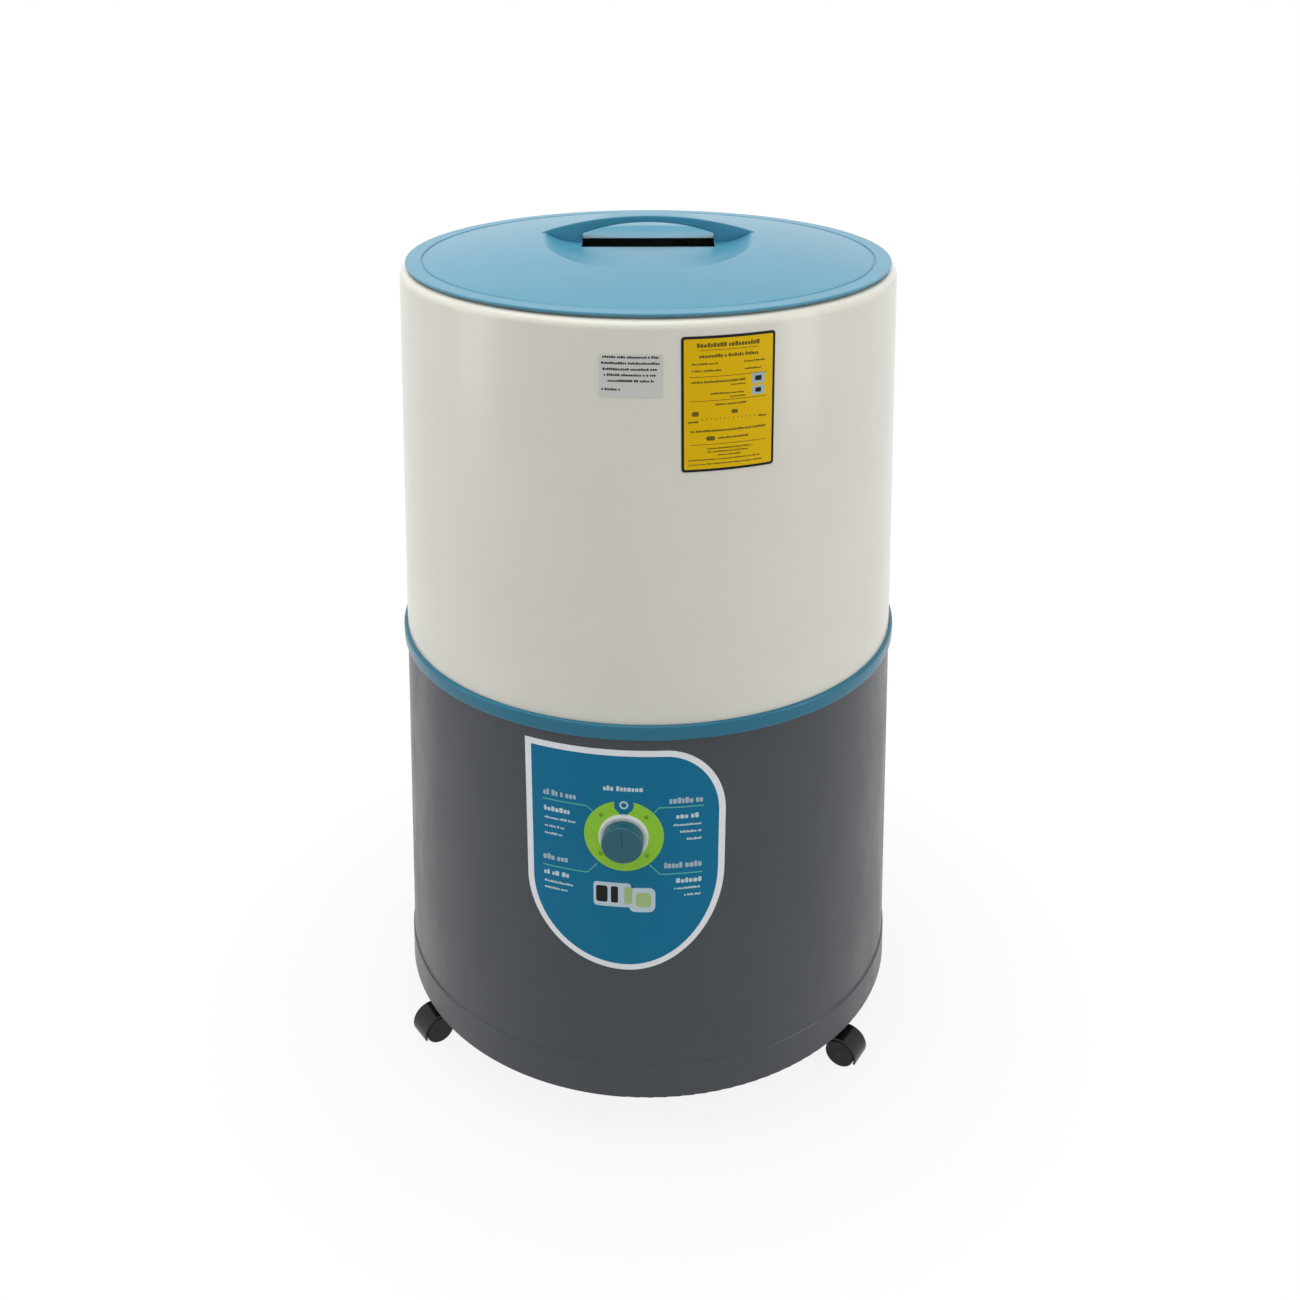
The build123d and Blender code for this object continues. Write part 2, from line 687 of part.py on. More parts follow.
with BuildPart() as base_skirt:
    with BuildSketch(Plane.XZ) as skirt_section:
        with BuildLine():
            Polyline(
                (wall_radius(skirt_top), skirt_top),
                (wall_radius(crease_height), crease_height),
                (lip_radius(crease_height - lip_step), crease_height - lip_step),
                (lip_radius(skirt_clearance), skirt_clearance),
                (lip_radius(skirt_clearance) - skirt_wall, skirt_clearance),
                (lip_radius(flange_bottom) - skirt_wall, flange_bottom),
                (flange_inner_radius, flange_bottom),
                (flange_inner_radius, flange_bottom + foot_flange),
                (lip_radius(flange_bottom + foot_flange) - skirt_wall,
                 flange_bottom + foot_flange),
                (lip_radius(crease_height - 2 * lip_step) - skirt_wall,
                 crease_height - 2 * lip_step),
                (wall_radius(crease_height) - skirt_wall, crease_height - lip_step),
                (wall_radius(skirt_top - skirt_top_flange) - skirt_wall,
                 skirt_top - skirt_top_flange),
                (web_inner_radius, skirt_top - skirt_top_flange),
                (web_inner_radius, skirt_top),
                close=True,
            )
        make_face()
        round_corner(skirt_section, (lip_radius(skirt_clearance), skirt_clearance),
                     skirt_wall * 0.6)
    revolve(axis=Axis.Z)
    add(timer_pads.part)
    add(band_holes.part, mode=Mode.SUBTRACT)
    with BuildSketch(facing_plane(0, bracket_face_radius, knob_height)):
        Circle(panel_hole_radius)
    extrude(amount=wall_radius(0) - bracket_face_radius, mode=Mode.SUBTRACT)
    with BuildSketch(facing_plane(outlet_angle, bracket_face_radius, outlet_height)):
        Circle(outlet_hole_radius + seat_gap)
    extrude(amount=wall_radius(0) - bracket_face_radius, mode=Mode.SUBTRACT)
    with BuildSketch(facing_plane(gland_angle, bracket_face_radius, outlet_height)):
        RectangleRounded(gland_body_size + 2 * seat_gap, gland_body_size + 2 * seat_gap,
                         gland_body_round)
    extrude(amount=wall_radius(0) - bracket_face_radius, mode=Mode.SUBTRACT)
    with BuildSketch(facing_plane(180, bracket_face_radius - pad_height, vent_height)):
        with GridLocations(vent_column_pitch, vent_pitch, 2, vent_rows):
            SlotOverall(vent_length, vent_width)
    extrude(amount=wall_radius(0) - bracket_face_radius + pad_height, mode=Mode.SUBTRACT)

# Base pan with the four caster bosses
pan_clearance = 1.5
pan_ring_radius = 112.0
pan_ring_wall = 4.0
pan_ring_rise = 14.0
pan_slot_length = 70.0
pan_slot_width = 8.0
pan_slot_count = 12
pan_slot_circle_radius = 66.0
caster_inset = 23.3
caster_front_angle = 57.0
boss_radius = 19.0
boss_drop = 14.5
socket_radius = 8.6
socket_rise = 24.0
stem_radius = 5.0
rib_width = 4.0
rib_rise = 12.0
pan_screw_count = 8
pan_screw_radius = 2.0
pan_screw_circle_radius = flange_inner_radius + foot_flange_width * 0.45
pan_radius = lip_radius(pan_bottom + pan_thickness) - skirt_wall - pan_clearance
caster_circle_radius = pan_radius - caster_inset
boss_bottom = pan_bottom - boss_drop
casters = {
    "front_left": -caster_front_angle,
    "front_right": caster_front_angle,
    "rear_left": caster_front_angle - 180,
    "rear_right": 180 - caster_front_angle,
}

with BuildPart() as base_pan:
    with BuildSketch(Plane.XY.offset(pan_bottom)):
        Circle(pan_radius)
        with PolarLocations(pan_slot_circle_radius, pan_slot_count):
            SlotOverall(pan_slot_length, pan_slot_width, mode=Mode.SUBTRACT)
    extrude(amount=pan_thickness)
    with BuildSketch(Plane.XY.offset(pan_bottom)):
        Circle(pan_ring_radius + pan_ring_wall)
        Circle(pan_ring_radius, mode=Mode.SUBTRACT)
    extrude(amount=pan_thickness + pan_ring_rise)
    for boss_angle in casters.values():
        with BuildSketch(Plane.XY.offset(boss_bottom)):
            with Locations(level_place(boss_angle, caster_circle_radius, 0)[:2]):
                Circle(boss_radius)
        extrude(amount=boss_drop)
        with BuildSketch(Plane.XY.offset(flange_bottom)):
            with Locations(level_place(boss_angle, caster_circle_radius, 0)[:2]):
                Circle(socket_radius)
        extrude(amount=socket_rise)
        with BuildSketch(upright_plane(boss_angle)):
            with BuildLine():
                Polyline(
                    (pan_ring_radius + pan_ring_wall / 2, flange_bottom),
                    (caster_circle_radius, flange_bottom),
                    (caster_circle_radius, flange_bottom + rib_rise),
                    (pan_ring_radius + pan_ring_wall / 2, flange_bottom + rib_rise),
                    close=True,
                )
            make_face()
        extrude(amount=rib_width / 2, both=True)
    for boss_angle in casters.values():
        with BuildSketch(Plane.XY.offset(boss_bottom)):
            with Locations(level_place(boss_angle, caster_circle_radius, 0)[:2]):
                Circle(stem_radius + running_gap)
        extrude(amount=boss_drop + pan_thickness + socket_rise - rib_width, mode=Mode.SUBTRACT)

with BuildPart() as pan_holes:
    with BuildSketch(Plane.XY.offset(pan_bottom - cut_overrun)):
        with PolarLocations(pan_screw_circle_radius, pan_screw_count):
            Circle(pan_screw_radius + running_gap)
    extrude(amount=pan_thickness + foot_flange + 2 * cut_overrun)

with base_pan:
    add(pan_holes.part, mode=Mode.SUBTRACT)

with base_skirt:
    add(pan_holes.part, mode=Mode.SUBTRACT)

pan_screw_head = 2.8
pan_screw_head_radius = 4.0
with BuildPart() as pan_screws:
    with BuildSketch(Plane.XY.offset(pan_bottom)):
        with PolarLocations(pan_screw_circle_radius, pan_screw_count):
            Circle(pan_screw_radius)
    extrude(amount=pan_thickness + foot_flange + cut_overrun)
    with BuildSketch(Plane.XY.offset(pan_bottom - pan_screw_head)):
        with PolarLocations(pan_screw_circle_radius, pan_screw_count):
            Circle(pan_screw_head_radius)
    extrude(amount=pan_screw_head)

# Casters: a hooded body that swivels on its stem, with twin wheels on one axle
wheel_radius = 19.0
wheel_width = 12.5
wheel_round = 2.5
wheel_bore_radius = 3.0
caster_web = 6.0
wheel_side_gap = 0.5
caster_trail = 22.0
hood_gap = 1.2
hood_wall = 2.6
hood_width = caster_web + 2 * (wheel_side_gap + wheel_width)
collar_radius = 11.0
collar_bottom = 26.0
collar_gap = 0.3
stem_bottom = 30.0
axle_radius = wheel_bore_radius - running_gap
axle_length = caster_web + 2 * (wheel_side_gap + wheel_width)
hood_radius = wheel_radius + hood_gap + hood_wall
hood_front_angle = -18.0
hood_back_angle = 152.0
web_clearance = 4.0
web_radius = wheel_radius - web_clearance
collar_top = boss_bottom - collar_gap
stem_top = flange_bottom + socket_rise - rib_width - seat_gap
trail_turns = {"front_left": 8.0, "front_right": 6.0, "rear_left": -25.0, "rear_right": 20.0}

for corner, caster_angle in casters.items():
    stem_x, stem_y, _ = level_place(caster_angle, caster_circle_radius, 0)
    out_x, out_y, _ = heading(caster_angle + trail_turns[corner])
    side_plane = Plane(origin=(stem_x, stem_y, 0), x_dir=(out_x, out_y, 0),
                       z_dir=(out_y, -out_x, 0))
    axle_place = (caster_trail, wheel_radius)
    front_end = (caster_trail + hood_radius * math.cos(math.radians(hood_front_angle)),
                 wheel_radius + hood_radius * math.sin(math.radians(hood_front_angle)))
    back_end = (caster_trail + hood_radius * math.cos(math.radians(hood_back_angle)),
                wheel_radius + hood_radius * math.sin(math.radians(hood_back_angle)))

    with BuildPart() as caster_hood:
        with BuildSketch(side_plane):
            with BuildLine():
                CenterArc(axle_place, hood_radius, hood_front_angle,
                          hood_back_angle - hood_front_angle)
                Line(back_end, axle_place)
                Line(axle_place, front_end)
            make_face()
        extrude(amount=hood_width / 2, both=True)
        with BuildSketch(Plane.XY.offset(collar_bottom)):
            with Locations((stem_x, stem_y)):
                Circle(collar_radius)
        extrude(amount=collar_top - collar_bottom)
        for side in (1, -1):
            with BuildSketch(side_plane.offset(side * caster_web / 2)):
                with Locations(axle_place):
                    Circle(hood_radius - hood_wall)
            extrude(amount=side * hood_width, mode=Mode.SUBTRACT)
        with BuildSketch(side_plane):
            with Locations(axle_place):
                Circle(web_radius)
        extrude(amount=caster_web / 2, both=True)
        with BuildSketch(side_plane):
            with Locations(axle_place):
                Circle(wheel_bore_radius)
        extrude(amount=caster_web, both=True, mode=Mode.SUBTRACT)
        with BuildSketch(Plane.XY.offset(stem_bottom)):
            with Locations((stem_x, stem_y)):
                Circle(stem_radius + running_gap)
        extrude(amount=collar_top - stem_bottom, mode=Mode.SUBTRACT)
    finish(caster_hood.part, corner + "_caster_hood")

    with BuildPart() as caster_stem:
        with BuildSketch(Plane.XY.offset(stem_bottom)):
            with Locations((stem_x, stem_y)):
                Circle(stem_radius)
        extrude(amount=stem_top - stem_bottom)
    finish(caster_stem.part, corner + "_caster_stem")

    with BuildPart() as caster_axle:
        with BuildSketch(side_plane):
            with Locations(axle_place):
                Circle(axle_radius)
        extrude(amount=axle_length / 2, both=True)
    finish(caster_axle.part, corner + "_caster_axle")

    with BuildPart() as caster_wheels:
        for side in (1, -1):
            with BuildSketch(side_plane.offset(side * (caster_web / 2 + wheel_side_gap))):
                with Locations(axle_place):
                    Circle(wheel_radius)
            extrude(amount=side * wheel_width)
        fillet(caster_wheels.edges().filter_by(GeomType.CIRCLE), wheel_round)
        with BuildSketch(side_plane):
            with Locations(axle_place):
                Circle(wheel_bore_radius)
        extrude(amount=hood_width, both=True, mode=Mode.SUBTRACT)
    finish(caster_wheels.part, corner + "_caster_wheels")

# Lid: a dished cover whose front scoop and arched bridge make the handle
lid_turn = 5.5
lid_inset = 6.0
lid_radius = wall_radius(rim_top) - lid_inset
lid_shell = 3.0
lid_edge = 2.5
lid_edge_round = 1.6
lid_groove_inset = 6.5
lid_groove_width = 1.8
lid_groove_depth = 1.0
lid_border_rise = 4.0
lid_dome_rise = 22.0
lid_ring_play = 1.0
lid_ring_depth = 13.0
lid_ring_wall = 2.0
lid_base = rim_top + seat_rib + seat_gap
lid_border_top = lid_base + lid_border_rise
lid_crown = lid_border_top + lid_dome_rise
lid_ring_radius = rim_inner_radius - lid_ring_play
lid_groove_radius = lid_ring_radius - lid_groove_inset
lid_dome_radius = (lid_groove_radius ** 2 + lid_dome_rise ** 2) / (2 * lid_dome_rise)
lid_cavity_radius = lid_groove_radius - lid_shell

bridge_front = 15.0
bridge_depth = 33.0
bridge_half_length = 122.0
bridge_rise = 24.5
bridge_thickness = 9.0
arch_half_length = 76.0
arch_rise = 12.8
scoop_depth = 13.0
scoop_floor_half = 80.0
scoop_end_half = 84.0
scoop_length = 150.0
scoop_floor_rise = 5.4
scoop_side_rise = 9.0
scoop_side_run = 47.0
scoop_end_run = 60.0
finger_ramp_drop = 7.5
finger_ramp_length = 28.0
sky = 40.0
scoop_floor = lid_crown - scoop_depth
bridge_top = lid_crown + bridge_rise
arch_top = bridge_top - bridge_thickness
arch_foot = arch_top - arch_rise


def scoop_corners(height, half, run):
    """Corners of one cross-section of the scoop, open to the sky."""
    return [
        (-half, height),
        (half, height),
        (half + run, height + scoop_side_rise),
        (half + run, height + sky),
        (-half - run, height + sky),
        (-half - run, height + scoop_side_rise),
    ]


with BuildPart() as lid_scoop:
    with BuildSketch(facing_plane(lid_turn, bridge_front, 0)):
        with BuildLine():
            Polyline(scoop_corners(scoop_floor, scoop_floor_half, scoop_side_run), close=True)
        make_face()
    with BuildSketch(facing_plane(lid_turn, bridge_front + scoop_length, 0)):
        with BuildLine():
            Polyline(scoop_corners(scoop_floor + scoop_floor_rise, scoop_end_half, scoop_end_run),
                     close=True)
        make_face()
    loft(ruled=True)

with BuildPart() as lid_inner_scoop:
    with BuildSketch(facing_plane(lid_turn, bridge_front - lid_shell, 0)):
        with BuildLine():
            Polyline(scoop_corners(scoop_floor - lid_shell, scoop_floor_half, scoop_side_run),
                     close=True)
        make_face()
    with BuildSketch(facing_plane(lid_turn, bridge_front + scoop_length, 0)):
        with BuildLine():
            Polyline(scoop_corners(scoop_floor + scoop_floor_rise - lid_shell, scoop_end_half,
                                   scoop_end_run), close=True)
        make_face()
    loft(ruled=True)

with BuildPart() as lid_ramp:
    with BuildSketch(upright_plane(lid_turn)):
        with BuildLine():
            Polyline(
                (bridge_front - bridge_depth, lid_crown - finger_ramp_drop),
                (bridge_front - bridge_depth - finger_ramp_length, lid_crown),
                (bridge_front - bridge_depth - finger_ramp_length, lid_crown + sky),
                (bridge_front - bridge_depth, lid_crown + sky),
                close=True,
            )
        make_face()
    extrude(amount=arch_half_length, both=True)

with BuildPart() as lid_inside:
    with BuildSketch(Plane.XZ):
        with BuildLine():
            RadiusArc((0, lid_crown - lid_shell), (lid_cavity_radius, lid_border_top - lid_shell),
                      lid_dome_radius)
            Polyline((lid_cavity_radius, lid_border_top - lid_shell),
                     (lid_cavity_radius, lid_base - cut_overrun),
                     (0, lid_base - cut_overrun),
                     (0, lid_crown - lid_shell))
        make_face()
    revolve(axis=Axis.Z)
    add(lid_inner_scoop.part, mode=Mode.SUBTRACT)
    with BuildSketch(facing_plane(lid_turn, bridge_front + lid_shell, 0)):
        with Locations((0, scoop_floor - lid_shell + sky / 2)):
            Rectangle(2 * (arch_half_length + lid_shell), sky)
    extrude(amount=-(bridge_depth + 2 * lid_shell), mode=Mode.SUBTRACT)
    add(lid_ramp.part.moved(Location((0, 0, -lid_shell))), mode=Mode.SUBTRACT)

with BuildPart() as lid:
    with BuildSketch(Plane.XZ) as lid_section:
        with BuildLine():
            RadiusArc((0, lid_crown), (lid_groove_radius, lid_border_top), lid_dome_radius)
            Polyline(
                (lid_groove_radius, lid_border_top),
                (lid_groove_radius, lid_border_top - lid_groove_depth),
                (lid_groove_radius + lid_groove_width, lid_border_top - lid_groove_depth),
                (lid_groove_radius + lid_groove_width, lid_border_top),
                (lid_radius, lid_base + lid_edge),
                (lid_radius, lid_base),
                (lid_ring_radius, lid_base),
                (lid_ring_radius, lid_base - lid_ring_depth),
                (lid_ring_radius - lid_ring_wall, lid_base - lid_ring_depth),
                (lid_ring_radius - lid_ring_wall, lid_base),
                (0, lid_base),
                (0, lid_crown),
            )
        make_face()
        round_corner(lid_section, (lid_radius, lid_base + lid_edge), lid_edge_round)
    revolve(axis=Axis.Z)
    add(lid_scoop.part, mode=Mode.SUBTRACT)
    add(lid_ramp.part, mode=Mode.SUBTRACT)
    with BuildSketch(facing_plane(lid_turn, bridge_front, 0)):
        with BuildLine():
            ThreePointArc((-bridge_half_length, lid_crown), (0, bridge_top),
                          (bridge_half_length, lid_crown))
            Polyline(
                (bridge_half_length, lid_crown),
                (bridge_half_length, scoop_floor),
                (-bridge_half_length, scoop_floor),
                (-bridge_half_length, lid_crown),
            )
        make_face()
    extrude(amount=-bridge_depth)
    add(lid_inside.part, mode=Mode.SUBTRACT)
    with BuildSketch(facing_plane(lid_turn, bridge_front, 0)):
        with BuildLine():
            ThreePointArc((-arch_half_length, arch_foot), (0, arch_top),
                          (arch_half_length, arch_foot))
            Polyline(
                (arch_half_length, arch_foot),
                (arch_half_length, lid_base - cut_overrun),
                (-arch_half_length, lid_base - cut_overrun),
                (-arch_half_length, arch_foot),
            )
        make_face()
    extrude(amount=-bridge_depth, mode=Mode.SUBTRACT)

# Printed films, each a slice of a thin cone
film_thickness = 0.4
film_reach = 90.0
label_half_width = 110.5
label_gap = 13.0
label_top = band_bottom - label_gap
label_shoulder_x = 45.0
label_shoulder_fall = 79.0
label_right_end = 150.0
label_left_end = 171.0
label_foot_x = 2.0
label_drop = 280.0
yellow_angle = 21.5
yellow_width = 98.0
yellow_height = 139.0
yellow_drop = 16.0
yellow_top = rim_top - yellow_drop
yellow_round = 3.5
clear_angle = 1.6
clear_width = 63.4
clear_height = 43.2
clear_drop = 33.0
clear_top = rim_top - clear_drop
clear_round = 2.5

with BuildPart() as film_cone:
    with BuildSketch(Plane.XZ):
        with BuildLine():
            Polyline(
                (wall_radius(crease_height) + film_gap, crease_height),
                (wall_radius(crease_height) + film_gap + film_thickness, crease_height),
                (wall_radius(rim_top) + film_gap + film_thickness, rim_top),
                (wall_radius(rim_top) + film_gap, rim_top),
                close=True,
            )
        make_face()
    revolve(axis=Axis.Z)

with BuildPart() as control_label:
    with BuildSketch(facing_plane(0, wall_radius(rim_top) - film_reach, 0)):
        with BuildLine():
            label_corner = (-label_half_width, label_top)
            Line(label_corner, (label_shoulder_x, label_top))
            EllipticalCenterArc(
                (label_shoulder_x, label_top - label_shoulder_fall),
                label_half_width - label_shoulder_x, label_shoulder_fall,
                start_angle=0, arc_size=90,
            )
            Line((label_half_width, label_top - label_shoulder_fall),
                 (label_half_width, label_top - label_right_end))
            EllipticalCenterArc(
                (label_foot_x, label_top - label_right_end),
                label_half_width - label_foot_x, label_drop - label_right_end,
                start_angle=270, arc_size=90,
            )
            EllipticalCenterArc(
                (label_foot_x, label_top - label_left_end),
                label_half_width + label_foot_x, label_drop - label_left_end,
                start_angle=180, arc_size=90,
            )
            Line((-label_half_width, label_top - label_left_end), label_corner)
        make_face()
    extrude(amount=2 * film_reach)
    add(film_cone.part, mode=Mode.INTERSECT)
    with BuildSketch(facing_plane(0, bracket_face_radius, knob_height)):
        Circle(panel_hole_radius)
    extrude(amount=film_reach, mode=Mode.SUBTRACT)

stickers = {
    "yellow_sticker": (yellow_angle, yellow_width, yellow_height, yellow_top, yellow_round),
    "clear_sticker": (clear_angle, clear_width, clear_height, clear_top, clear_round),
}
for sticker_name, (angle, width, height, top, corner_radius) in stickers.items():
    with BuildPart() as sticker:
        with BuildSketch(facing_plane(angle, wall_radius(rim_top) - film_reach, top - height / 2)):
            RectangleRounded(width, height, corner_radius)
        extrude(amount=2 * film_reach)
        add(film_cone.part, mode=Mode.INTERSECT)
    finish(sticker.part, sticker_name)

# Program knob and its timer
bezel_radius = 27.5
bezel_height = 4.5
bezel_round = 1.5
knob_radius = 23.0
knob_length = 14.5
knob_edge_round = 3.0
knob_gap = 0.5
pointer_width = 1.6
pointer_depth = 0.8
pointer_length = 15.0
timer_shaft_radius = 3.0
bezel_bore_radius = 5.0
timer_width = 58.0
timer_depth = 27.0
timer_round = 4.0
bracket_width = 98.0
bracket_height = 62.0
bracket_thickness = 2.0
bracket_bore_radius = 7.0
timer_screw_radius = 1.5
timer_screw_head_radius = 3.0
timer_screw_head = 2.0
timer_screw_spacing = 42.0
timer_screw_reach = 8.0
pad_screw_reach = 9.0
knob_back = wall_radius(knob_height) + film_gap + film_thickness + bezel_height + knob_gap
knob_face = knob_back + knob_length
bracket_back = bracket_face_radius - bracket_thickness
timer_back = bracket_back - timer_depth

with BuildPart() as knob_bezel:
    with BuildSketch(facing_plane(0, bracket_face_radius, knob_height)):
        Circle(bezel_radius)
    extrude(amount=knob_back - knob_gap - bracket_face_radius)
    fillet(knob_bezel.edges().group_by(Axis.Y)[0], bezel_round)
    with BuildSketch(Plane.XZ):
        with BuildLine():
            film_surface = film_thickness + 2 * film_gap
            Polyline(
                (0, crease_height),
                (wall_radius(crease_height) + film_surface, crease_height),
                (wall_radius(band_top) + film_surface, band_top),
                (0, band_top),
                close=True,
            )
        make_face()
    revolve(axis=Axis.Z, mode=Mode.SUBTRACT)
    with BuildSketch(facing_plane(0, bracket_face_radius, knob_height)):
        Circle(bezel_bore_radius)
    extrude(amount=knob_back - bracket_face_radius, mode=Mode.SUBTRACT)

with BuildPart() as knob:
    with BuildSketch(facing_plane(0, knob_back, knob_height)):
        Circle(knob_radius)
    extrude(amount=knob_length)
    fillet(knob.edges().group_by(Axis.Y)[0], knob_edge_round)
    with BuildSketch(facing_plane(0, knob_face, knob_height)):
        with Locations((0, pointer_length / 2 + pointer_width)):
            SlotOverall(pointer_length, pointer_width, rotation=90)
    extrude(amount=-pointer_depth, mode=Mode.SUBTRACT)
    with BuildSketch(facing_plane(0, knob_back, knob_height)):
        Circle(timer_shaft_radius + running_gap)
    extrude(amount=knob_length - knob_edge_round, mode=Mode.SUBTRACT)

with BuildPart() as timer_shaft:
    with BuildSketch(facing_plane(0, timer_back + timer_depth / 3, knob_height)):
        Circle(timer_shaft_radius)
    extrude(amount=knob_face - knob_edge_round - seat_gap - timer_back - timer_depth / 3)

with BuildPart() as timer_body:
    with BuildSketch(facing_plane(0, timer_back, knob_height)):
        RectangleRounded(timer_width, timer_width, timer_round)
    extrude(amount=timer_depth)
    with BuildSketch(facing_plane(0, timer_back + timer_depth / 3, knob_height)):
        Circle(timer_shaft_radius + running_gap)
    extrude(amount=timer_depth, mode=Mode.SUBTRACT)
    with BuildSketch(facing_plane(0, bracket_back - timer_screw_reach, knob_height)):
        with GridLocations(timer_screw_spacing, timer_screw_spacing, 2, 2):
            Circle(timer_screw_radius + running_gap)
    extrude(amount=timer_screw_reach, mode=Mode.SUBTRACT)

with BuildPart() as timer_bracket:
    with BuildSketch(facing_plane(0, bracket_back, knob_height)):
        RectangleRounded(bracket_width, bracket_height, timer_round)
        Circle(bracket_bore_radius, mode=Mode.SUBTRACT)
        with GridLocations(timer_screw_spacing, timer_screw_spacing, 2, 2):
            Circle(timer_screw_radius + running_gap, mode=Mode.SUBTRACT)
        with GridLocations(pad_spacing, 0, 2, 1):
            Circle(timer_screw_radius + running_gap, mode=Mode.SUBTRACT)
    extrude(amount=bracket_thickness)

with base_skirt:
    with BuildSketch(facing_plane(0, bracket_face_radius, knob_height)):
        with GridLocations(pad_spacing, 0, 2, 1):
            Circle(timer_screw_radius + running_gap)
    extrude(amount=pad_screw_reach, mode=Mode.SUBTRACT)

with BuildPart() as timer_screws:
    with BuildSketch(facing_plane(0, bracket_back - timer_screw_reach, knob_height)):
        with GridLocations(timer_screw_spacing, timer_screw_spacing, 2, 2):
            Circle(timer_screw_radius)
    extrude(amount=timer_screw_reach + bracket_thickness)
    with BuildSketch(facing_plane(0, bracket_face_radius, knob_height)):
        with GridLocations(timer_screw_spacing, timer_screw_spacing, 2, 2):
            Circle(timer_screw_head_radius)
    extrude(amount=timer_screw_head)

with BuildPart() as bracket_screws:
    with BuildSketch(facing_plane(0, bracket_back, knob_height)):
        with GridLocations(pad_spacing, 0, 2, 1):
            Circle(timer_screw_radius)
    extrude(amount=bracket_thickness + pad_screw_reach)
    with BuildSketch(facing_plane(0, bracket_back - timer_screw_head, knob_height)):
        with GridLocations(pad_spacing, 0, 2, 1):
            Circle(timer_screw_head_radius)
    extrude(amount=timer_screw_head)

# Drain hose from the tub's fitting to the outlet low in the skirt
hose_wall = 3.0
hose_end_setback = 16.3
hose_straight = 35.0
hose_top = tub_underside - drain_body_drop - seat_gap
hose_inner_radius = drain_spigot_radius + running_gap
hose_outer_radius = hose_inner_radius + hose_wall
hose_end_radius = wall_radius(outlet_height) - hose_end_setback
hose_bend_radius = hose_end_radius - hose_straight - drain_radius
outlet_flange_radius = 25.0
outlet_flange = 3.5
outlet_nose = 28.0
outlet_face = wall_radius(outlet_height) + outlet_flange + seat_gap
outlet_tip_radius = outlet_face + outlet_nose
outlet_barb_start = hose_end_radius - hose_straight + seat_gap
hose_plane = upright_plane(drain_angle)

with BuildPart() as drain_hose:
    with BuildLine(hose_plane) as hose_route:
        Line((drain_radius, hose_top), (drain_radius, outlet_height + hose_bend_radius))
        TangentArc((drain_radius, outlet_height + hose_bend_radius),
                   (drain_radius + hose_bend_radius, outlet_height), tangent=(0, -1))
        Line((drain_radius + hose_bend_radius, outlet_height), (hose_end_radius, outlet_height))
    with BuildSketch(Plane.XY.offset(hose_top)):
        with Locations((drain_x, drain_y)):
            Circle(hose_outer_radius)
            Circle(hose_inner_radius, mode=Mode.SUBTRACT)
    sweep(path=hose_route.line)

clamp_wall = 1.5
clamp_width = 9.0
clamp_inset = 14.0
clamp_radius = hose_outer_radius + running_gap
with BuildPart() as hose_clamps:
    with BuildSketch(Plane.XY.offset(hose_top - clamp_inset)):
        with Locations((drain_x, drain_y)):
            Circle(clamp_radius + clamp_wall)
            Circle(clamp_radius, mode=Mode.SUBTRACT)
    extrude(amount=-clamp_width)
    with BuildSketch(facing_plane(outlet_angle, hose_end_radius - clamp_inset, outlet_height)):
        Circle(clamp_radius + clamp_wall)
        Circle(clamp_radius, mode=Mode.SUBTRACT)
    extrude(amount=-clamp_width)

with BuildPart() as skirt_solid:
    with BuildSketch(Plane.XZ):
        with BuildLine():
            Polyline(
                (0, skirt_clearance),
                (lip_radius(skirt_clearance) + seat_gap, skirt_clearance),
                (lip_radius(crease_height - lip_step) + seat_gap, crease_height - lip_step),
                (wall_radius(crease_height) + seat_gap, crease_height),
                (wall_radius(band_bottom) + seat_gap, band_bottom),
                (0, band_bottom),
                close=True,
            )
        make_face()
    revolve(axis=Axis.Z)

with BuildPart() as drain_outlet:
    with BuildSketch(facing_plane(outlet_angle, bracket_face_radius, outlet_height)):
        Circle(outlet_flange_radius)
    extrude(amount=outlet_face - bracket_face_radius)
    add(skirt_solid.part, mode=Mode.SUBTRACT)
    with BuildSketch(facing_plane(outlet_angle, hose_end_radius + seat_gap, outlet_height)):
        Circle(outlet_hole_radius)
    extrude(amount=outlet_face - hose_end_radius - seat_gap)
    with BuildSketch(facing_plane(outlet_angle, outlet_barb_start, outlet_height)):
        Circle(drain_spigot_radius)
    extrude(amount=outlet_tip_radius - outlet_barb_start)
    with BuildSketch(facing_plane(outlet_angle, outlet_barb_start, outlet_height)):
        Circle(drain_bore_radius)
    extrude(amount=outlet_tip_radius - outlet_barb_start, mode=Mode.SUBTRACT)

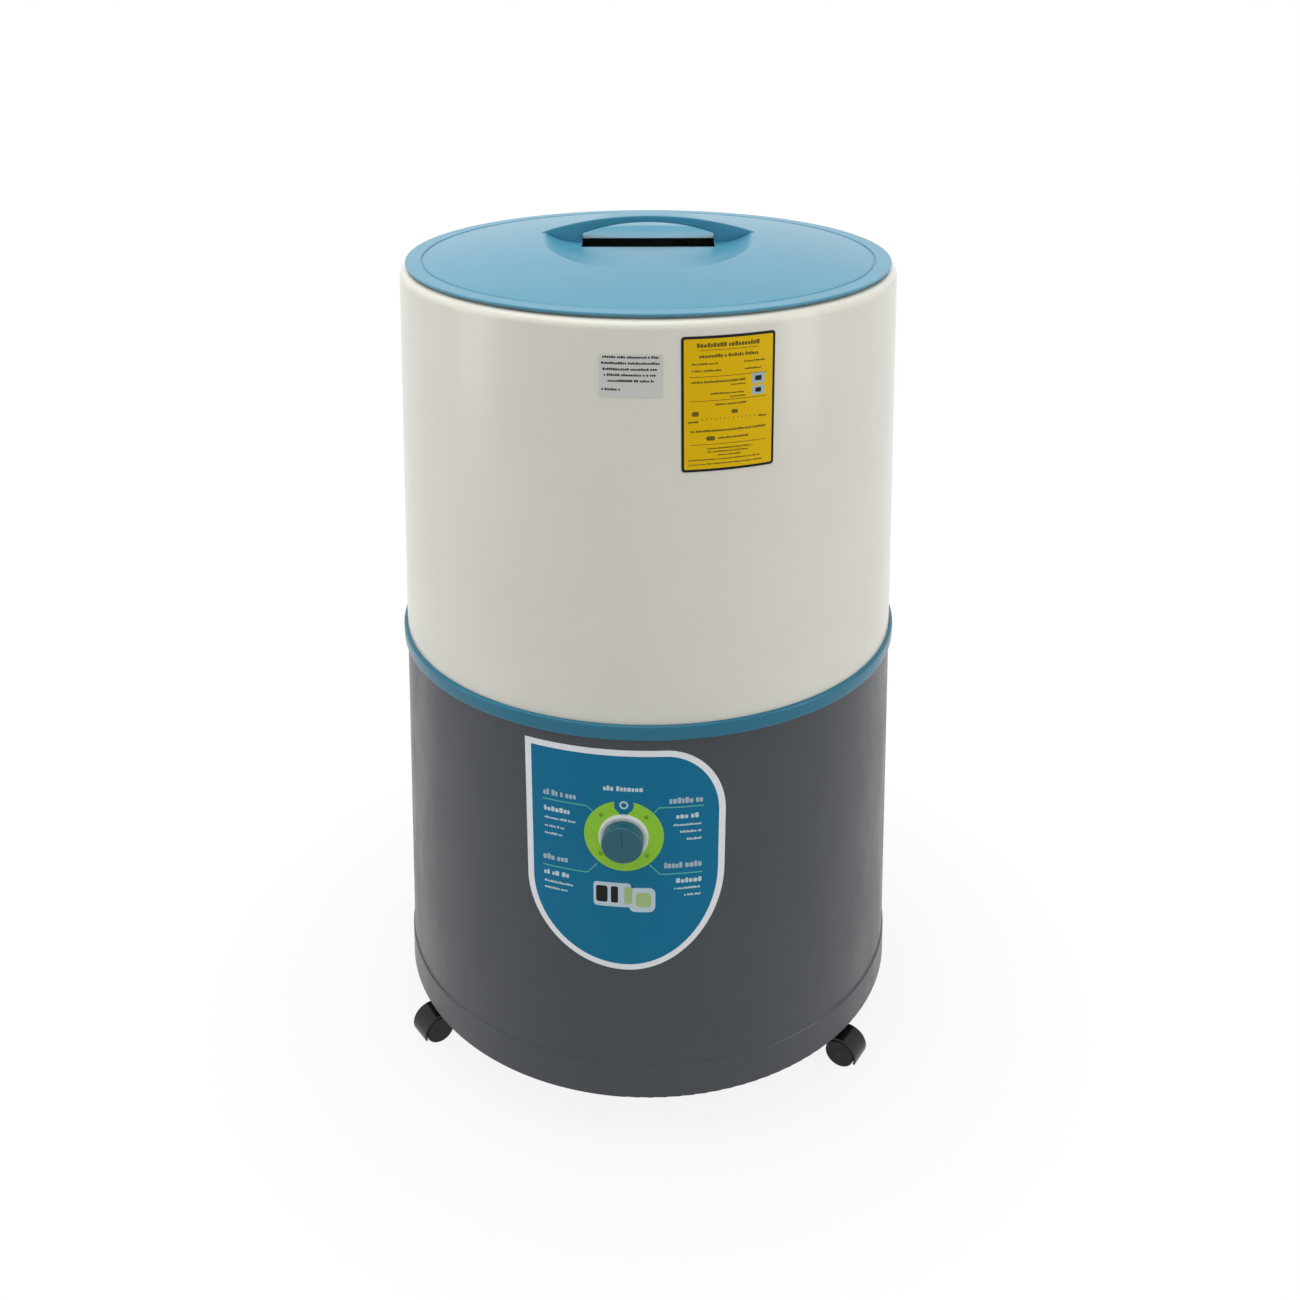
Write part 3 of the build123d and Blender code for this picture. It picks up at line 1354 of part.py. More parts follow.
# Gland where the mains cord leaves. Its square body keeps it from turning in the wall
gland_flange_radius = 13.0
gland_flange = 3.0
gland_nose = 10.0
gland_root_radius = 9.0
gland_nose_radius = 7.5
gland_bore_radius = 3.6
gland_tail = 9.0
gland_face = wall_radius(outlet_height) + gland_flange + seat_gap
gland_start = wall_radius(outlet_height) - skirt_wall - gland_tail
with BuildPart() as cord_gland:
    with BuildSketch(facing_plane(gland_angle, bracket_face_radius, outlet_height)):
        Circle(gland_flange_radius)
    extrude(amount=gland_face - bracket_face_radius)
    add(skirt_solid.part, mode=Mode.SUBTRACT)
    with BuildSketch(facing_plane(gland_angle, gland_start, outlet_height)):
        RectangleRounded(gland_body_size, gland_body_size, gland_body_round)
    extrude(amount=gland_face - gland_start)
    with BuildSketch(facing_plane(gland_angle, gland_face, outlet_height)):
        Circle(gland_root_radius)
    with BuildSketch(facing_plane(gland_angle, gland_face + gland_nose, outlet_height)):
        Circle(gland_nose_radius)
    loft()
    with BuildSketch(facing_plane(gland_angle, gland_start, outlet_height)):
        Circle(gland_bore_radius)
    extrude(amount=gland_face + gland_nose - gland_start, mode=Mode.SUBTRACT)

# Leads: timer to motor, and mains from the gland to the motor
lead_radius = 3.0
lead_bend = 24.0
lead_level = 236.0
mains_level = 262.0
timer_lead_depth = timer_back + timer_depth / 3
timer_bottom = knob_height - timer_width / 2
terminal_bottom = terminal_middle - terminal_height / 2
terminal_pitch = 14.0
gland_x, gland_y, _ = level_place(gland_angle, gland_start, outlet_height)
riser_x, riser_y, _ = level_place(gland_angle, gland_start - 2 * lead_bend, outlet_height)
timer_lead_points = [
    (0, -timer_lead_depth, timer_bottom),
    (0, -timer_lead_depth, lead_level),
    (terminal_x, motor_y - terminal_pitch / 2, lead_level),
    (terminal_x, motor_y - terminal_pitch / 2, terminal_bottom),
]
mains_lead_points = [
    (gland_x, gland_y, outlet_height),
    (riser_x, riser_y, outlet_height),
    (riser_x, riser_y, mains_level),
    (terminal_x, motor_y + terminal_pitch / 2, mains_level),
    (terminal_x, motor_y + terminal_pitch / 2, terminal_bottom),
]
with BuildPart() as wiring_leads:
    for points in (timer_lead_points, mains_lead_points):
        with BuildLine() as lead_route:
            FilletPolyline(*points, radius=lead_bend)
        with BuildSketch(Plane(origin=lead_route.line @ 0, z_dir=lead_route.line % 0)):
            Circle(lead_radius)
        sweep(path=lead_route.line)

pieces = {
    "trim_band": trim_band,
    "band_screws": band_screws,
    "wash_tub": wash_tub,
    "drain_fitting": drain_fitting,
    "drain_nut": drain_nut,
    "drain_strainer": drain_strainer,
    "agitator": agitator,
    "agitator_cap": agitator_cap,
    "drive_shaft": drive_shaft,
    "shaft_seal": shaft_seal,
    "bearing_housing": bearing_housing,
    "drive_frame": drive_frame,
    "frame_bolts": frame_bolts,
    "motor_body": motor_body,
    "motor_mounts": motor_mounts,
    "motor_bolts": motor_bolts,
    "motor_shaft": motor_shaft,
    "driven_pulley": driven_pulley,
    "motor_pulley": motor_pulley,
    "pulley_nut": pulley_nut,
    "drive_belt": drive_belt,
    "capacitor": capacitor,
    "capacitor_clip": capacitor_clip,
    "base_skirt": base_skirt,
    "base_pan": base_pan,
    "pan_screws": pan_screws,
    "lid": lid,
    "control_label": control_label,
    "knob_bezel": knob_bezel,
    "knob": knob,
    "timer_shaft": timer_shaft,
    "timer_body": timer_body,
    "timer_bracket": timer_bracket,
    "timer_screws": timer_screws,
    "bracket_screws": bracket_screws,
    "drain_hose": drain_hose,
    "hose_clamps": hose_clamps,
    "drain_outlet": drain_outlet,
    "cord_gland": cord_gland,
    "wiring_leads": wiring_leads,
}
for piece_name, piece in pieces.items():
    finish(piece.part, piece_name)
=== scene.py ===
"""Dresses the packed round washing machine: finishes, lid, prints and studio."""
import math
import random

import bmesh
import bpy
from bpy.props import FloatProperty, FloatVectorProperty, IntProperty, PointerProperty
from bpy.types import Operator, Panel, PropertyGroup
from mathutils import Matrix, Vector


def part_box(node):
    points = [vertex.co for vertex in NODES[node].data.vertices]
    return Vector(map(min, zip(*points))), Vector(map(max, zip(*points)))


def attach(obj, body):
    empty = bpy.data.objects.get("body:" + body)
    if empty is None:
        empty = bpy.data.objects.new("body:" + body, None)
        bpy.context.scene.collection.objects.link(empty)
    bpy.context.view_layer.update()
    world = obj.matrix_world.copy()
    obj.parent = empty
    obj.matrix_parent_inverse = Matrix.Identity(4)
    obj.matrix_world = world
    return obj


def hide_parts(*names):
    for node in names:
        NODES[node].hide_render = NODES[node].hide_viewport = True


bl_info = {
    "name": "Round washing machine",
    "version": (1, 0, 0),
    "blender": (4, 5, 0),
    "location": "View3D > Sidebar > Washer",
    "description": "Finishes, lid, prints and studio for a round washing machine on casters",
    "category": "Object",
}

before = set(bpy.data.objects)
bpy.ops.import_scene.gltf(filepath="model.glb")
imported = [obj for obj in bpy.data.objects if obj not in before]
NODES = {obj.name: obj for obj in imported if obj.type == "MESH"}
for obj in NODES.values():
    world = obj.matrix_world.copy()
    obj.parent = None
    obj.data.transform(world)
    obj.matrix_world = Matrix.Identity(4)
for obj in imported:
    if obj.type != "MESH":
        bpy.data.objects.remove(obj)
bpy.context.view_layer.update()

MM = 0.001
BAND_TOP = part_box("trim_band")[1].z
BAND_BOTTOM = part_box("trim_band")[0].z
BAND_RADIUS = (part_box("trim_band")[1].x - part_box("trim_band")[0].x) / 2
LID_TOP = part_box("lid")[1].z
LID_RADIUS = (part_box("lid")[1].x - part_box("lid")[0].x) / 2
KNOB_HEIGHT = (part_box("knob")[1].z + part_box("knob")[0].z) / 2
LABEL_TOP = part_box("control_label")[1].z
LABEL_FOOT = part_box("control_label")[0].z


# Settings that a user would change

def size(name, description, default):
    """A length setting, given in millimetres and kept in metres."""
    return FloatProperty(name=name, description=description, default=default * MM,
                         subtype="DISTANCE", unit="LENGTH")


def degrees(name, description, default):
    """An angle setting, given in degrees and kept in radians."""
    return FloatProperty(name=name, description=description, default=math.radians(default),
                         subtype="ANGLE", unit="ROTATION")


def colour(name, description, default):
    """A colour setting in linear values."""
    return FloatVectorProperty(name=name, description=description, default=default,
                               size=3, min=0.0, max=1.0, subtype="COLOR")


class BodySettings(PropertyGroup):
    """Shape and colours of the casing."""

    wall_radius: size("Wall radius", "Outer radius of the wall at the band's top", 298.8)
    wall_lean: degrees("Wall lean", "Slope of the wall from upright", 2.13)
    tub_colour: colour("Tub", "Colour of the white tub wall", (0.81, 0.782, 0.69))
    skirt_colour: colour("Skirt", "Colour of the lower casing", (0.050, 0.057, 0.067))
    band_colour: colour("Band", "Colour of the trim band", (0.009, 0.165, 0.262))
    caster_colour: colour("Casters", "Colour of the casters", (0.004, 0.005, 0.006))


class LidSettings(PropertyGroup):
    """Shape and colour of the lid."""

    turn: degrees("Turn", "How far the lid is turned on the tub", 5.5)
    shell: size("Shell", "Thickness of the lid's skin", 3.0)
    edge: size("Edge", "Thickness at the lid's outer edge", 3.8)
    groove_radius: size("Groove radius", "Inner radius of the groove round the dome", 256.5)
    groove_width: size("Groove width", "Width of the groove", 2.4)
    groove_depth: size("Groove depth", "Depth of the groove", 1.4)
    border_rise: size("Border rise", "Rise of the border from the base to the groove", 4.0)
    dome_rise: size("Dome rise", "Rise of the dome from the groove to the crown", 22.0)
    ring_radius: size("Ring radius", "Outer radius of the locating ring below", 263.0)
    ring_wall: size("Ring wall", "Thickness of the locating ring", 2.0)
    ring_depth: size("Ring depth", "Depth of the locating ring", 13.0)
    bridge_front: size("Crest", "Handle's crest before the axis", 15.5)
    bridge_sweep: size("Crest sweep", "Crest's ends behind its middle", 60.5)
    bridge_back: size("Back edge", "Handle's back behind the axis", 15.0)
    back_sweep: size("Back sweep", "Back's ends behind its middle", 48.0)
    bridge_half: size("Handle half length", "Half the handle's length at the dome", 127.0)
    bridge_rise: size("Handle rise", "Rise of the handle over the crown", 24.5)
    bridge_thickness: size("Handle thickness", "Thickness of the handle in the middle", 7.8)
    bridge_round: size("Handle rounding", "Rounding of the handle's edges", 1.8)
    bridge_lean: degrees("Handle lean", "Forward lean of its front face", 13.0)
    arch_half: size("Arch half length", "Half the length of the hand gap", 76.0)
    arch_rise: size("Arch rise", "Rise of the arch over its feet", 17.6)
    slot_front: size("Slot front", "Reach of the hand slot before the axis", 10.0)
    slot_back: size("Slot back", "Reach of the hand slot behind the axis", 18.0)
    scoop_depth: size("Scoop depth", "Depth of the scoop at the handle", 12.0)
    scoop_half: size("Scoop half width", "Half the scoop floor's width at the handle", 90.0)
    scoop_length: size("Scoop length", "Length over which the scoop's floor rises", 150.0)
    scoop_rise: size("Scoop rise", "Rise of the scoop's floor over its length", 5.4)
    ramp_drop: size("Ramp drop", "Depth of the finger ramp behind the handle", 7.5)
    ramp_length: size("Ramp length", "Length of the finger ramp", 45.0)
    colour: colour("Lid", "Colour of the lid", (0.080, 0.298, 0.425))


class PrintSettings(PropertyGroup):
    """Inks of the label and the stickers."""

    blue: colour("Blue ink", "Ground of the control label", (0.001, 0.168, 0.318))
    green: colour("Green ink", "Ring round the knob", (0.315, 0.655, 0.045))
    mint: colour("Mint ink", "Callout lines", (0.13, 0.52, 0.40))
    pale: colour("Pale ink", "Blocks and marks on the label", (0.58, 0.70, 0.76))
    grey: colour("Grey ink", "Larger blocks on the label", (0.40, 0.52, 0.58))
    leaf: colour("Leaf ink", "Blocks on the badge", (0.42, 0.58, 0.24))
    yellow: colour("Yellow ink", "Ground of the upright sticker", (0.83, 0.52, 0.0))
    brown: colour("Brown ink", "Blocks on the upright sticker", (0.16, 0.11, 0.01))
    dark: colour("Dark ink", "Borders and blocks on the stickers", (0.008, 0.008, 0.010))
    white: colour("White film", "Edge of the control label", (0.90, 0.92, 0.94))
    clear: colour("Pale film", "Small sticker near the rim", (0.70, 0.68, 0.64))


class StageSettings(PropertyGroup):
    """Camera, lamps and floor."""

    camera_azimuth: degrees("Camera azimuth", "Direction of the camera from the front", 5.1)
    camera_distance: size("Camera distance", "Level distance of the camera from the axis", 1644.5)
    camera_height: size("Camera height", "Height of the camera over the floor", 1341.1)
    camera_pitch: degrees("Camera pitch", "How far the camera looks down", 20.887)
    camera_lens: FloatProperty(name="Lens", default=40.052, unit="CAMERA",
                               description="Focal length on a 36 mm sensor")
    shift_x: FloatProperty(name="Shift X", default=0.0013, description="Sideways lens shift")
    shift_y: FloatProperty(name="Shift Y", default=-0.1313, description="Upright lens shift")
    lamp_level: FloatProperty(name="Lamp level", default=1.0,
                              description="Factor on every lamp's power")
    ring_segments: IntProperty(name="Segments", default=240,
                               description="Segments round a full turn")


def settings(group):
    """One of the scene's settings groups."""
    return getattr(bpy.context.scene, "washer_" + group)


# Node materials

class Finish:
    """A material under construction, with its Principled shader."""

    def __init__(self, name):
        self.material = bpy.data.materials.new(name)
        self.material.use_nodes = True
        self.tree = self.material.node_tree
        self.tree.nodes.clear()
        self.shader = self.add("ShaderNodeBsdfPrincipled")
        self.surface = self.add("ShaderNodeOutputMaterial").inputs["Surface"]
        self.link(self.shader.outputs["BSDF"], self.surface)
        self.place = self.add("ShaderNodeTexCoord").outputs["Object"]

    def add(self, kind, **values):
        """A new node with its properties set."""
        node = self.tree.nodes.new(kind)
        for key, value in values.items():
            setattr(node, key, value)
        return node

    def link(self, source, target):
        """Joins two sockets."""
        self.tree.links.new(source, target)

    def fix(self, **values):
        """Sets constants on the shader's own sockets."""
        for key, value in values.items():
            self.shader.inputs[key].default_value = value

    def noise(self, scale, detail=2.0, roughness=0.5, stretch=(1.0, 1.0, 1.0)):
        """Noise in object space, stretched along the axes."""
        mapping = self.add("ShaderNodeMapping")
        mapping.inputs["Scale"].default_value = stretch
        self.link(self.place, mapping.inputs["Vector"])
        noise = self.add("ShaderNodeTexNoise")
        noise.inputs["Scale"].default_value = scale
        noise.inputs["Detail"].default_value = detail
        noise.inputs["Roughness"].default_value = roughness
        self.link(mapping.outputs["Vector"], noise.inputs["Vector"])
        return noise.outputs["Fac"]

    def spread(self, value, low, high, start=0.3, end=0.7):
        """Maps a value's middle range to low..high."""
        node = self.add("ShaderNodeMapRange", clamp=True)
        node.inputs["From Min"].default_value = start
        node.inputs["From Max"].default_value = end
        node.inputs["To Min"].default_value = low
        node.inputs["To Max"].default_value = high
        self.link(value, node.inputs["Value"])
        return node.outputs["Result"]

    def tint(self, value, first, second, most=1.0, **middle):
        """Colours the shader from one colour towards another, up to a share of it."""
        node = self.add("ShaderNodeMix", data_type="RGBA")
        self.link(self.spread(value, 0.0, most, **middle), node.inputs["Factor"])
        for socket, value in zip([s for s in node.inputs if s.type == "RGBA"],
                                 (first, second)):
            socket.default_value = (*value, 1.0)
        self.link(next(s for s in node.outputs if s.type == "RGBA"),
                  self.shader.inputs["Base Color"])

    def roughen(self, value, low, high):
        """Varies the shader's roughness between two values."""
        self.link(self.spread(value, low, high), self.shader.inputs["Roughness"])

    def bump(self, height, strength, distance):
        """Bump from a height, added over any earlier one."""
        node = self.add("ShaderNodeBump")
        node.inputs["Strength"].default_value = strength
        node.inputs["Distance"].default_value = distance
        self.link(height, node.inputs["Height"])
        normal = self.shader.inputs["Normal"]
        if normal.links:
            self.link(normal.links[0].from_socket, node.inputs["Normal"])
        self.link(node.outputs["Normal"], normal)


def shade(base, factor):
    """A colour made darker or lighter."""
    return tuple(min(1.0, channel * factor) for channel in base)


def moulded_plastic(name, base, gloss, grain=0.04 * MM, cloud=0.05, index=1.48, fine=900.0,
                    smear=0.18):
    """Moulded plastic: faint clouding, uneven gloss, a fine grain and slow waves.

    cloud and smear are shares of the colour and the gloss, grain is the fine grain's depth."""
    finish = Finish(name)
    clouds = finish.noise(scale=9.0, detail=3.0)
    finish.tint(clouds, shade(base, 1 - cloud), shade(base, 1 + cloud))
    smears = finish.noise(scale=22.0, detail=4.0, roughness=0.6, stretch=(1.0, 1.0, 0.35))
    finish.roughen(smears, gloss * (1 - smear), gloss * (1 + smear))
    finish.bump(finish.noise(scale=fine), strength=0.35, distance=grain)
    finish.bump(finish.noise(scale=14.0, detail=1.0), strength=0.12, distance=0.6 * MM)
    finish.fix(IOR=index)
    return finish.material


def printed_film(name, base, gloss=0.34):
    """Printed film: flat ink with a slight orange peel and tiny specks."""
    finish = Finish(name)
    specks = finish.noise(scale=1400.0, detail=1.0)
    finish.tint(specks, shade(base, 0.96), shade(base, 1.05))
    finish.roughen(finish.noise(scale=30.0, detail=3.0), gloss * 0.9, gloss * 1.15)
    finish.bump(finish.noise(scale=240.0), strength=0.2, distance=0.03 * MM)
    finish.fix(IOR=1.25)
    return finish.material


def turned_metal(name, base, gloss, brush=(1.0, 1.0, 40.0)):
    """Machined metal: brushing along one way and patchy tarnish."""
    finish = Finish(name)
    lines = finish.noise(scale=60.0, detail=4.0, roughness=0.6, stretch=brush)
    patches = finish.noise(scale=18.0, detail=3.0)
    finish.tint(patches, shade(base, 0.82), base)
    finish.roughen(lines, gloss * 0.75, gloss * 1.3)
    finish.bump(lines, strength=0.2, distance=0.05 * MM)
    finish.fix(Metallic=1.0)
    return finish.material


def soft_rubber(name, base, gloss=0.62):
    """Rubber: dusty patches over a matt ground."""
    finish = Finish(name)
    dust = finish.noise(scale=40.0, detail=5.0, roughness=0.65)
    finish.tint(dust, base, tuple(channel + 0.03 for channel in base), 0.6, start=0.45, end=0.8)
    finish.roughen(dust, gloss * 0.9, gloss * 1.25)
    finish.bump(finish.noise(scale=700.0, detail=3.0), strength=0.4, distance=0.06 * MM)
    return finish.material


def dress(material, *nodes):
    """Gives CAD nodes a finish."""
    for node in nodes:
        slots = NODES[node].data.materials
        slots.clear()
        slots.append(material)


# Mesh helpers

def new_object(name, data):
    """A new object in the scene."""
    thing = bpy.data.objects.new(name, data)
    bpy.context.scene.collection.objects.link(thing)
    return thing


def add_piece(name, mesh, body, material):
    """Links a mesh as a piece that rides on a body."""
    piece = new_object(name, mesh)
    mesh.materials.append(material)
    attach(piece, body)
    return piece


def mesh_of(name, form, sharp=32.0):
    """A smooth mesh from a bmesh, which is freed, with sharp edges past an angle in degrees."""
    bmesh.ops.recalc_face_normals(form, faces=form.faces)
    mesh = bpy.data.meshes.new(name)
    form.to_mesh(mesh)
    form.free()
    mesh.shade_smooth()
    mesh.set_sharp_from_angle(angle=math.radians(sharp))
    return mesh


def join(form, first, second):
    """Faces between two closed loops of vertices."""
    for i in range(len(first)):
        j = (i + 1) % len(first)
        form.faces.new((first[i], first[j], second[j], second[i]))


# The leaning wall, which prints wrap round

def wall_radius(height):
    """Outer radius of the casing's wall at a height."""
    body = settings("body")
    return body.wall_radius + (BAND_TOP - height) * math.tan(body.wall_lean)


def on_wall(across, height, azimuth, lift):
    """Point over the wall. across is the sideways distance seen square on at an azimuth."""
    angle = azimuth + math.asin(across / wall_radius(height))
    radius = wall_radius(height) + lift
    return Vector((radius * math.sin(angle), -radius * math.cos(angle), height))


PRINT_STEP = 4 * MM  # Width of the flat strips that a print is cut into
MERGE = 0.001 * MM
INK = 0.06 * MM
INK_GAP = 0.01 * MM
FILM_FACE = 0.46 * MM  # Height of the films over the wall


def print_on_wall(name, outlines, layer, material, azimuth=0.0):
    """A thin print on the casing. Its flat outlines are wrapped round the wall."""
    form = bmesh.new()
    for outline in outlines:
        form.faces.new([form.verts.new((x, 0.0, z)) for x, z in outline])
    bmesh.ops.remove_doubles(form, verts=form.verts, dist=MERGE)
    bmesh.ops.triangulate(form, faces=form.faces)
    places = [vert.co.x for vert in form.verts]
    low, high = min(places), max(places)
    for i in range(1, math.ceil((high - low) / PRINT_STEP)):
        bmesh.ops.bisect_plane(form, geom=form.verts[:] + form.edges[:] + form.faces[:],
                               dist=MERGE, plane_co=(low + i * PRINT_STEP, 0.0, 0.0),
                               plane_no=(1.0, 0.0, 0.0))
    lower = form.verts[:]
    rim = [edge for edge in form.edges if edge.is_boundary]
    copies = bmesh.ops.duplicate(form, geom=form.verts[:] + form.edges[:] + form.faces[:])
    twin = copies["vert_map"]
    for edge in rim:
        a, b = edge.verts
        form.faces.new((a, b, twin[b], twin[a]))
    lift = FILM_FACE + layer * (INK + INK_GAP)
    for vert in lower:
        upper = twin[vert]
        upper.co = on_wall(vert.co.x, vert.co.z, azimuth, lift + INK)
        vert.co = on_wall(vert.co.x, vert.co.z, azimuth, lift)
    add_piece(name, mesh_of(name, form, sharp=30.0), "cabinet", material)


def rounded_bar(x, z, width, height, corner, count=5):
    """Outline of a bar with rounded corners round its middle."""
    points = []
    for quarter, (sx, sz) in enumerate(((1, 1), (-1, 1), (-1, -1), (1, -1))):
        for i in range(count + 1):
            angle = (quarter + i / count) * math.pi / 2
            points.append((x + sx * (width / 2 - corner) + corner * math.cos(angle),
                           z + sz * (height / 2 - corner) + corner * math.sin(angle)))
    return points


def disc(centre, radius, count=48):
    """Outline of a disc."""
    x, z = centre
    turns = [math.tau * i / count for i in range(count)]
    return [(x + radius * math.cos(turn), z + radius * math.sin(turn)) for turn in turns]


def ring_stretch(centre, inner, outer, start, end, count):
    """Outlines of the cells of a ring's stretch, in degrees from the top, clockwise."""
    x, z = centre
    turns = [math.radians(start + (end - start) * i / count) for i in range(count + 1)]
    return [[(x + radius * math.sin(turn), z + radius * math.cos(turn))
             for radius, turn in ((inner, a), (outer, a), (outer, b), (inner, b))]
            for a, b in zip(turns, turns[1:])]


def ribbon(points, width):
    """Outline of a line of constant width through points, with square ends."""
    left, right = [], []
    for i, (x, z) in enumerate(points):
        bx, bz = points[max(i - 1, 0)]
        fx, fz = points[min(i + 1, len(points) - 1)]
        length = math.hypot(fx - bx, fz - bz)
        nx, nz = -(fz - bz) / length, (fx - bx) / length
        left.append((x + nx * width / 2, z + nz * width / 2))
        right.append((x - nx * width / 2, z - nz * width / 2))
    return left + right[::-1]


# Lid

SIDE_CURVE = 8.0  # Rise of the scoop's sides over the square of the way, per metre
END_CURVE = 2.5  # How fast the scoop's floor narrows towards the front, per metre
SCOOP_BLEND = 1.4 * MM
RAMP_BLEND = 1.0 * MM
RAMP_SIDE_SLOPE = 2
RAMP_MARGIN = 3 * MM
STEP_LENGTH = 4.7 * MM  # Way over which the scoop's height changes to the ramp's
STEP_START = 10 * MM  # Where that starts, before the slot's back
FOOT_COVER = 3 * MM  # Where it starts under a foot, behind the foot's front
CREST_SINK = 0.4 * MM
RIM_SHARE = 0.15  # Share of the skin's thickness that is left at the slot
RIM_WIDTH = 3 * MM
RIM_TAPER = 10 * MM
SINK = 1.5 * MM  # How deep the handle's feet reach into the skin
FOOT_ROUND = 0.2 * MM
SNAP = 0.0001 * MM
RING_STEP = 2.4 * MM
STATION_STEP = 2.5 * MM
SEAM = 0.4 * MM  # Way between the arch's end and the foot's start
RING_FILLET = 0.3 * MM
RING_ROUND = 0.4 * MM
# Points round the groove, as ways outwards and up, in millimetres
INNER_LIP = ((-0.6, 0.05), (0.0, -0.4))
OUTER_LIP = ((0.0, -0.2), (0.7, 0.25), (2.0, 0.2))
GROOVE_INSET = 0.5 * MM
BORDER_SHARES = (0.3, 0.5, 0.75)
EDGE_ROUND = 1.2 * MM
EDGE_STEPS = 5
UNDER_ROUND = ((0.4, 1.6), (2.0, 0.0))  # Inwards from the edge and up from the base


def arc_height(across, half, top, rise):
    """Height of an arc at a distance from its middle."""
    radius = (half * half + rise * rise) / (2 * rise)
    return top - radius + math.sqrt(radius * radius - across * across)


class LidForm:
    """Heights of the lid's skin, in the lid's own directions: u to the right, v to the front."""

    def __init__(self):
        self.set = settings("lid")
        self.crown = LID_TOP - self.set.bridge_rise
        self.border_top = self.crown - self.set.dome_rise
        self.base = self.border_top - self.set.border_rise

    def soft_lower(self, first, second, reach):
        """The lower of two heights, with their meeting rounded over a reach."""
        near = max(reach - abs(first - second), 0.0) / reach
        return min(first, second) - near * near * reach / 4

    def dome(self, u, v):
        """Height of the plain dome."""
        lid = self.set
        return arc_height(math.hypot(u, v), lid.groove_radius, self.crown, lid.dome_rise)

    def scoop(self, u, v):
        """Height of the scoop: a flat floor with sides that curve up to the dome."""
        lid = self.set
        along = v - lid.slot_front
        floor = self.crown - lid.scoop_depth + lid.scoop_rise * max(along, 0.0) / lid.scoop_length
        half = lid.scoop_half - END_CURVE * max(along, 0.0) ** 2
        beyond = max(abs(u) - half, 0.0)
        return floor + SIDE_CURVE * beyond * beyond

    def ramp(self, u, v):
        """Height of the finger ramp behind the handle."""
        lid = self.set
        share = max(-lid.slot_back - v, 0.0) / lid.ramp_length
        return (self.crown + lid.ramp_drop * (share ** 3 - 1)
                + RAMP_SIDE_SLOPE * max(abs(u) - lid.arch_half - RAMP_MARGIN, 0.0))

    def crest(self, u):
        """The handle's front upper edge at u: its place in v and its height."""
        lid = self.set
        end = self.dome(lid.bridge_half, lid.bridge_sweep - lid.bridge_front) - CREST_SINK
        share = (u / lid.bridge_half) ** 2
        return (lid.bridge_front - lid.bridge_sweep * share,
                arc_height(u, lid.bridge_half, LID_TOP, LID_TOP - end))

    def foot_front(self, u):
        """Place of the foot of the handle's front face, where it stands in the scoop."""
        front, height = self.crest(u)
        floor = min(self.scoop(u, front), self.dome(u, front))
        return front - (height - floor) * math.tan(self.set.bridge_lean)

    def skin(self, u, v):
        """Height of the lid's top, whose step from scoop to dome lies in the handle's foot."""
        lid = self.set
        dome = self.dome(u, v)
        scooped = self.soft_lower(dome, self.scoop(u, v), SCOOP_BLEND)
        ramped = self.soft_lower(dome, self.ramp(u, v), RAMP_BLEND)
        start = STEP_START - lid.slot_back
        if lid.arch_half < abs(u) < lid.bridge_half:
            start = self.foot_front(u) - FOOT_COVER
        elif abs(u) >= lid.bridge_half:
            start = v
        share = min(max((start - v) / STEP_LENGTH, 0.0), 1.0)
        return scooped + (ramped - scooped) * share

    def thickness(self, u, v):
        """Thickness of the skin, which thins towards the hand slot."""
        lid = self.set
        aside = max(abs(u) - lid.arch_half, 0.0)
        ahead = max(v - lid.slot_front, -lid.slot_back - v, 0.0)
        share = min(max(math.hypot(aside, ahead) - RIM_WIDTH, 0.0) / RIM_TAPER, 1.0)
        return lid.shell * (RIM_SHARE + (1 - RIM_SHARE) * share)

    def side(self, u, v, under):
        """Height of the skin's upper side or underside."""
        return self.skin(u, v) - (self.thickness(u, v) if under else 0.0)

    def place(self, u, v, height):
        """Point in the frame of the cabinet."""
        c, s = math.cos(self.set.turn), math.sin(self.set.turn)
        return Vector((u * c + v * s, u * s - v * c, height))


def lid_rings(form):
    """The rings of the lid's upper side, over the edge and the locating ring, and of its
    underside. Each is a radius and a height, or None for the height of the skin."""
    lid = form.set
    count = int((lid.groove_radius - MM) / RING_STEP)
    top = [(i * RING_STEP, None) for i in range(1, count + 1)]
    border = form.border_top
    floor = border - lid.groove_depth
    groove_end = lid.groove_radius + lid.groove_width
    edge_top = form.base + lid.edge
    over = [(lid.groove_radius + out * MM, border + up * MM) for out, up in INNER_LIP]
    over += [(lid.groove_radius + GROOVE_INSET, floor), (groove_end - GROOVE_INSET, floor)]
    over += [(groove_end + out * MM, border + up * MM) for out, up in OUTER_LIP]
    over += [(groove_end + (LID_RADIUS - groove_end) * share,
              border + (edge_top - border) * share) for share in BORDER_SHARES]
    for i in range(EDGE_STEPS):
        angle = math.pi / 2 * i / (EDGE_STEPS - 1)
        over.append((LID_RADIUS - EDGE_ROUND * (1 - math.sin(angle)),
                     edge_top - EDGE_ROUND * (1 - math.cos(angle))))
    over += [(LID_RADIUS - way * MM, form.base + up * MM) for way, up in UNDER_ROUND]
    ring_foot = form.base - lid.ring_depth
    ring_inside = lid.ring_radius - lid.ring_wall
    over += [
        (lid.ring_radius + RING_FILLET, form.base),
        (lid.ring_radius, form.base - RING_FILLET),
        (lid.ring_radius, ring_foot + RING_ROUND),
        (lid.ring_radius - RING_ROUND, ring_foot),
        (ring_inside + RING_ROUND, ring_foot),
        (ring_inside, ring_foot + RING_ROUND),
        (ring_inside, form.base),
    ]
    return top + over, top[::-1]


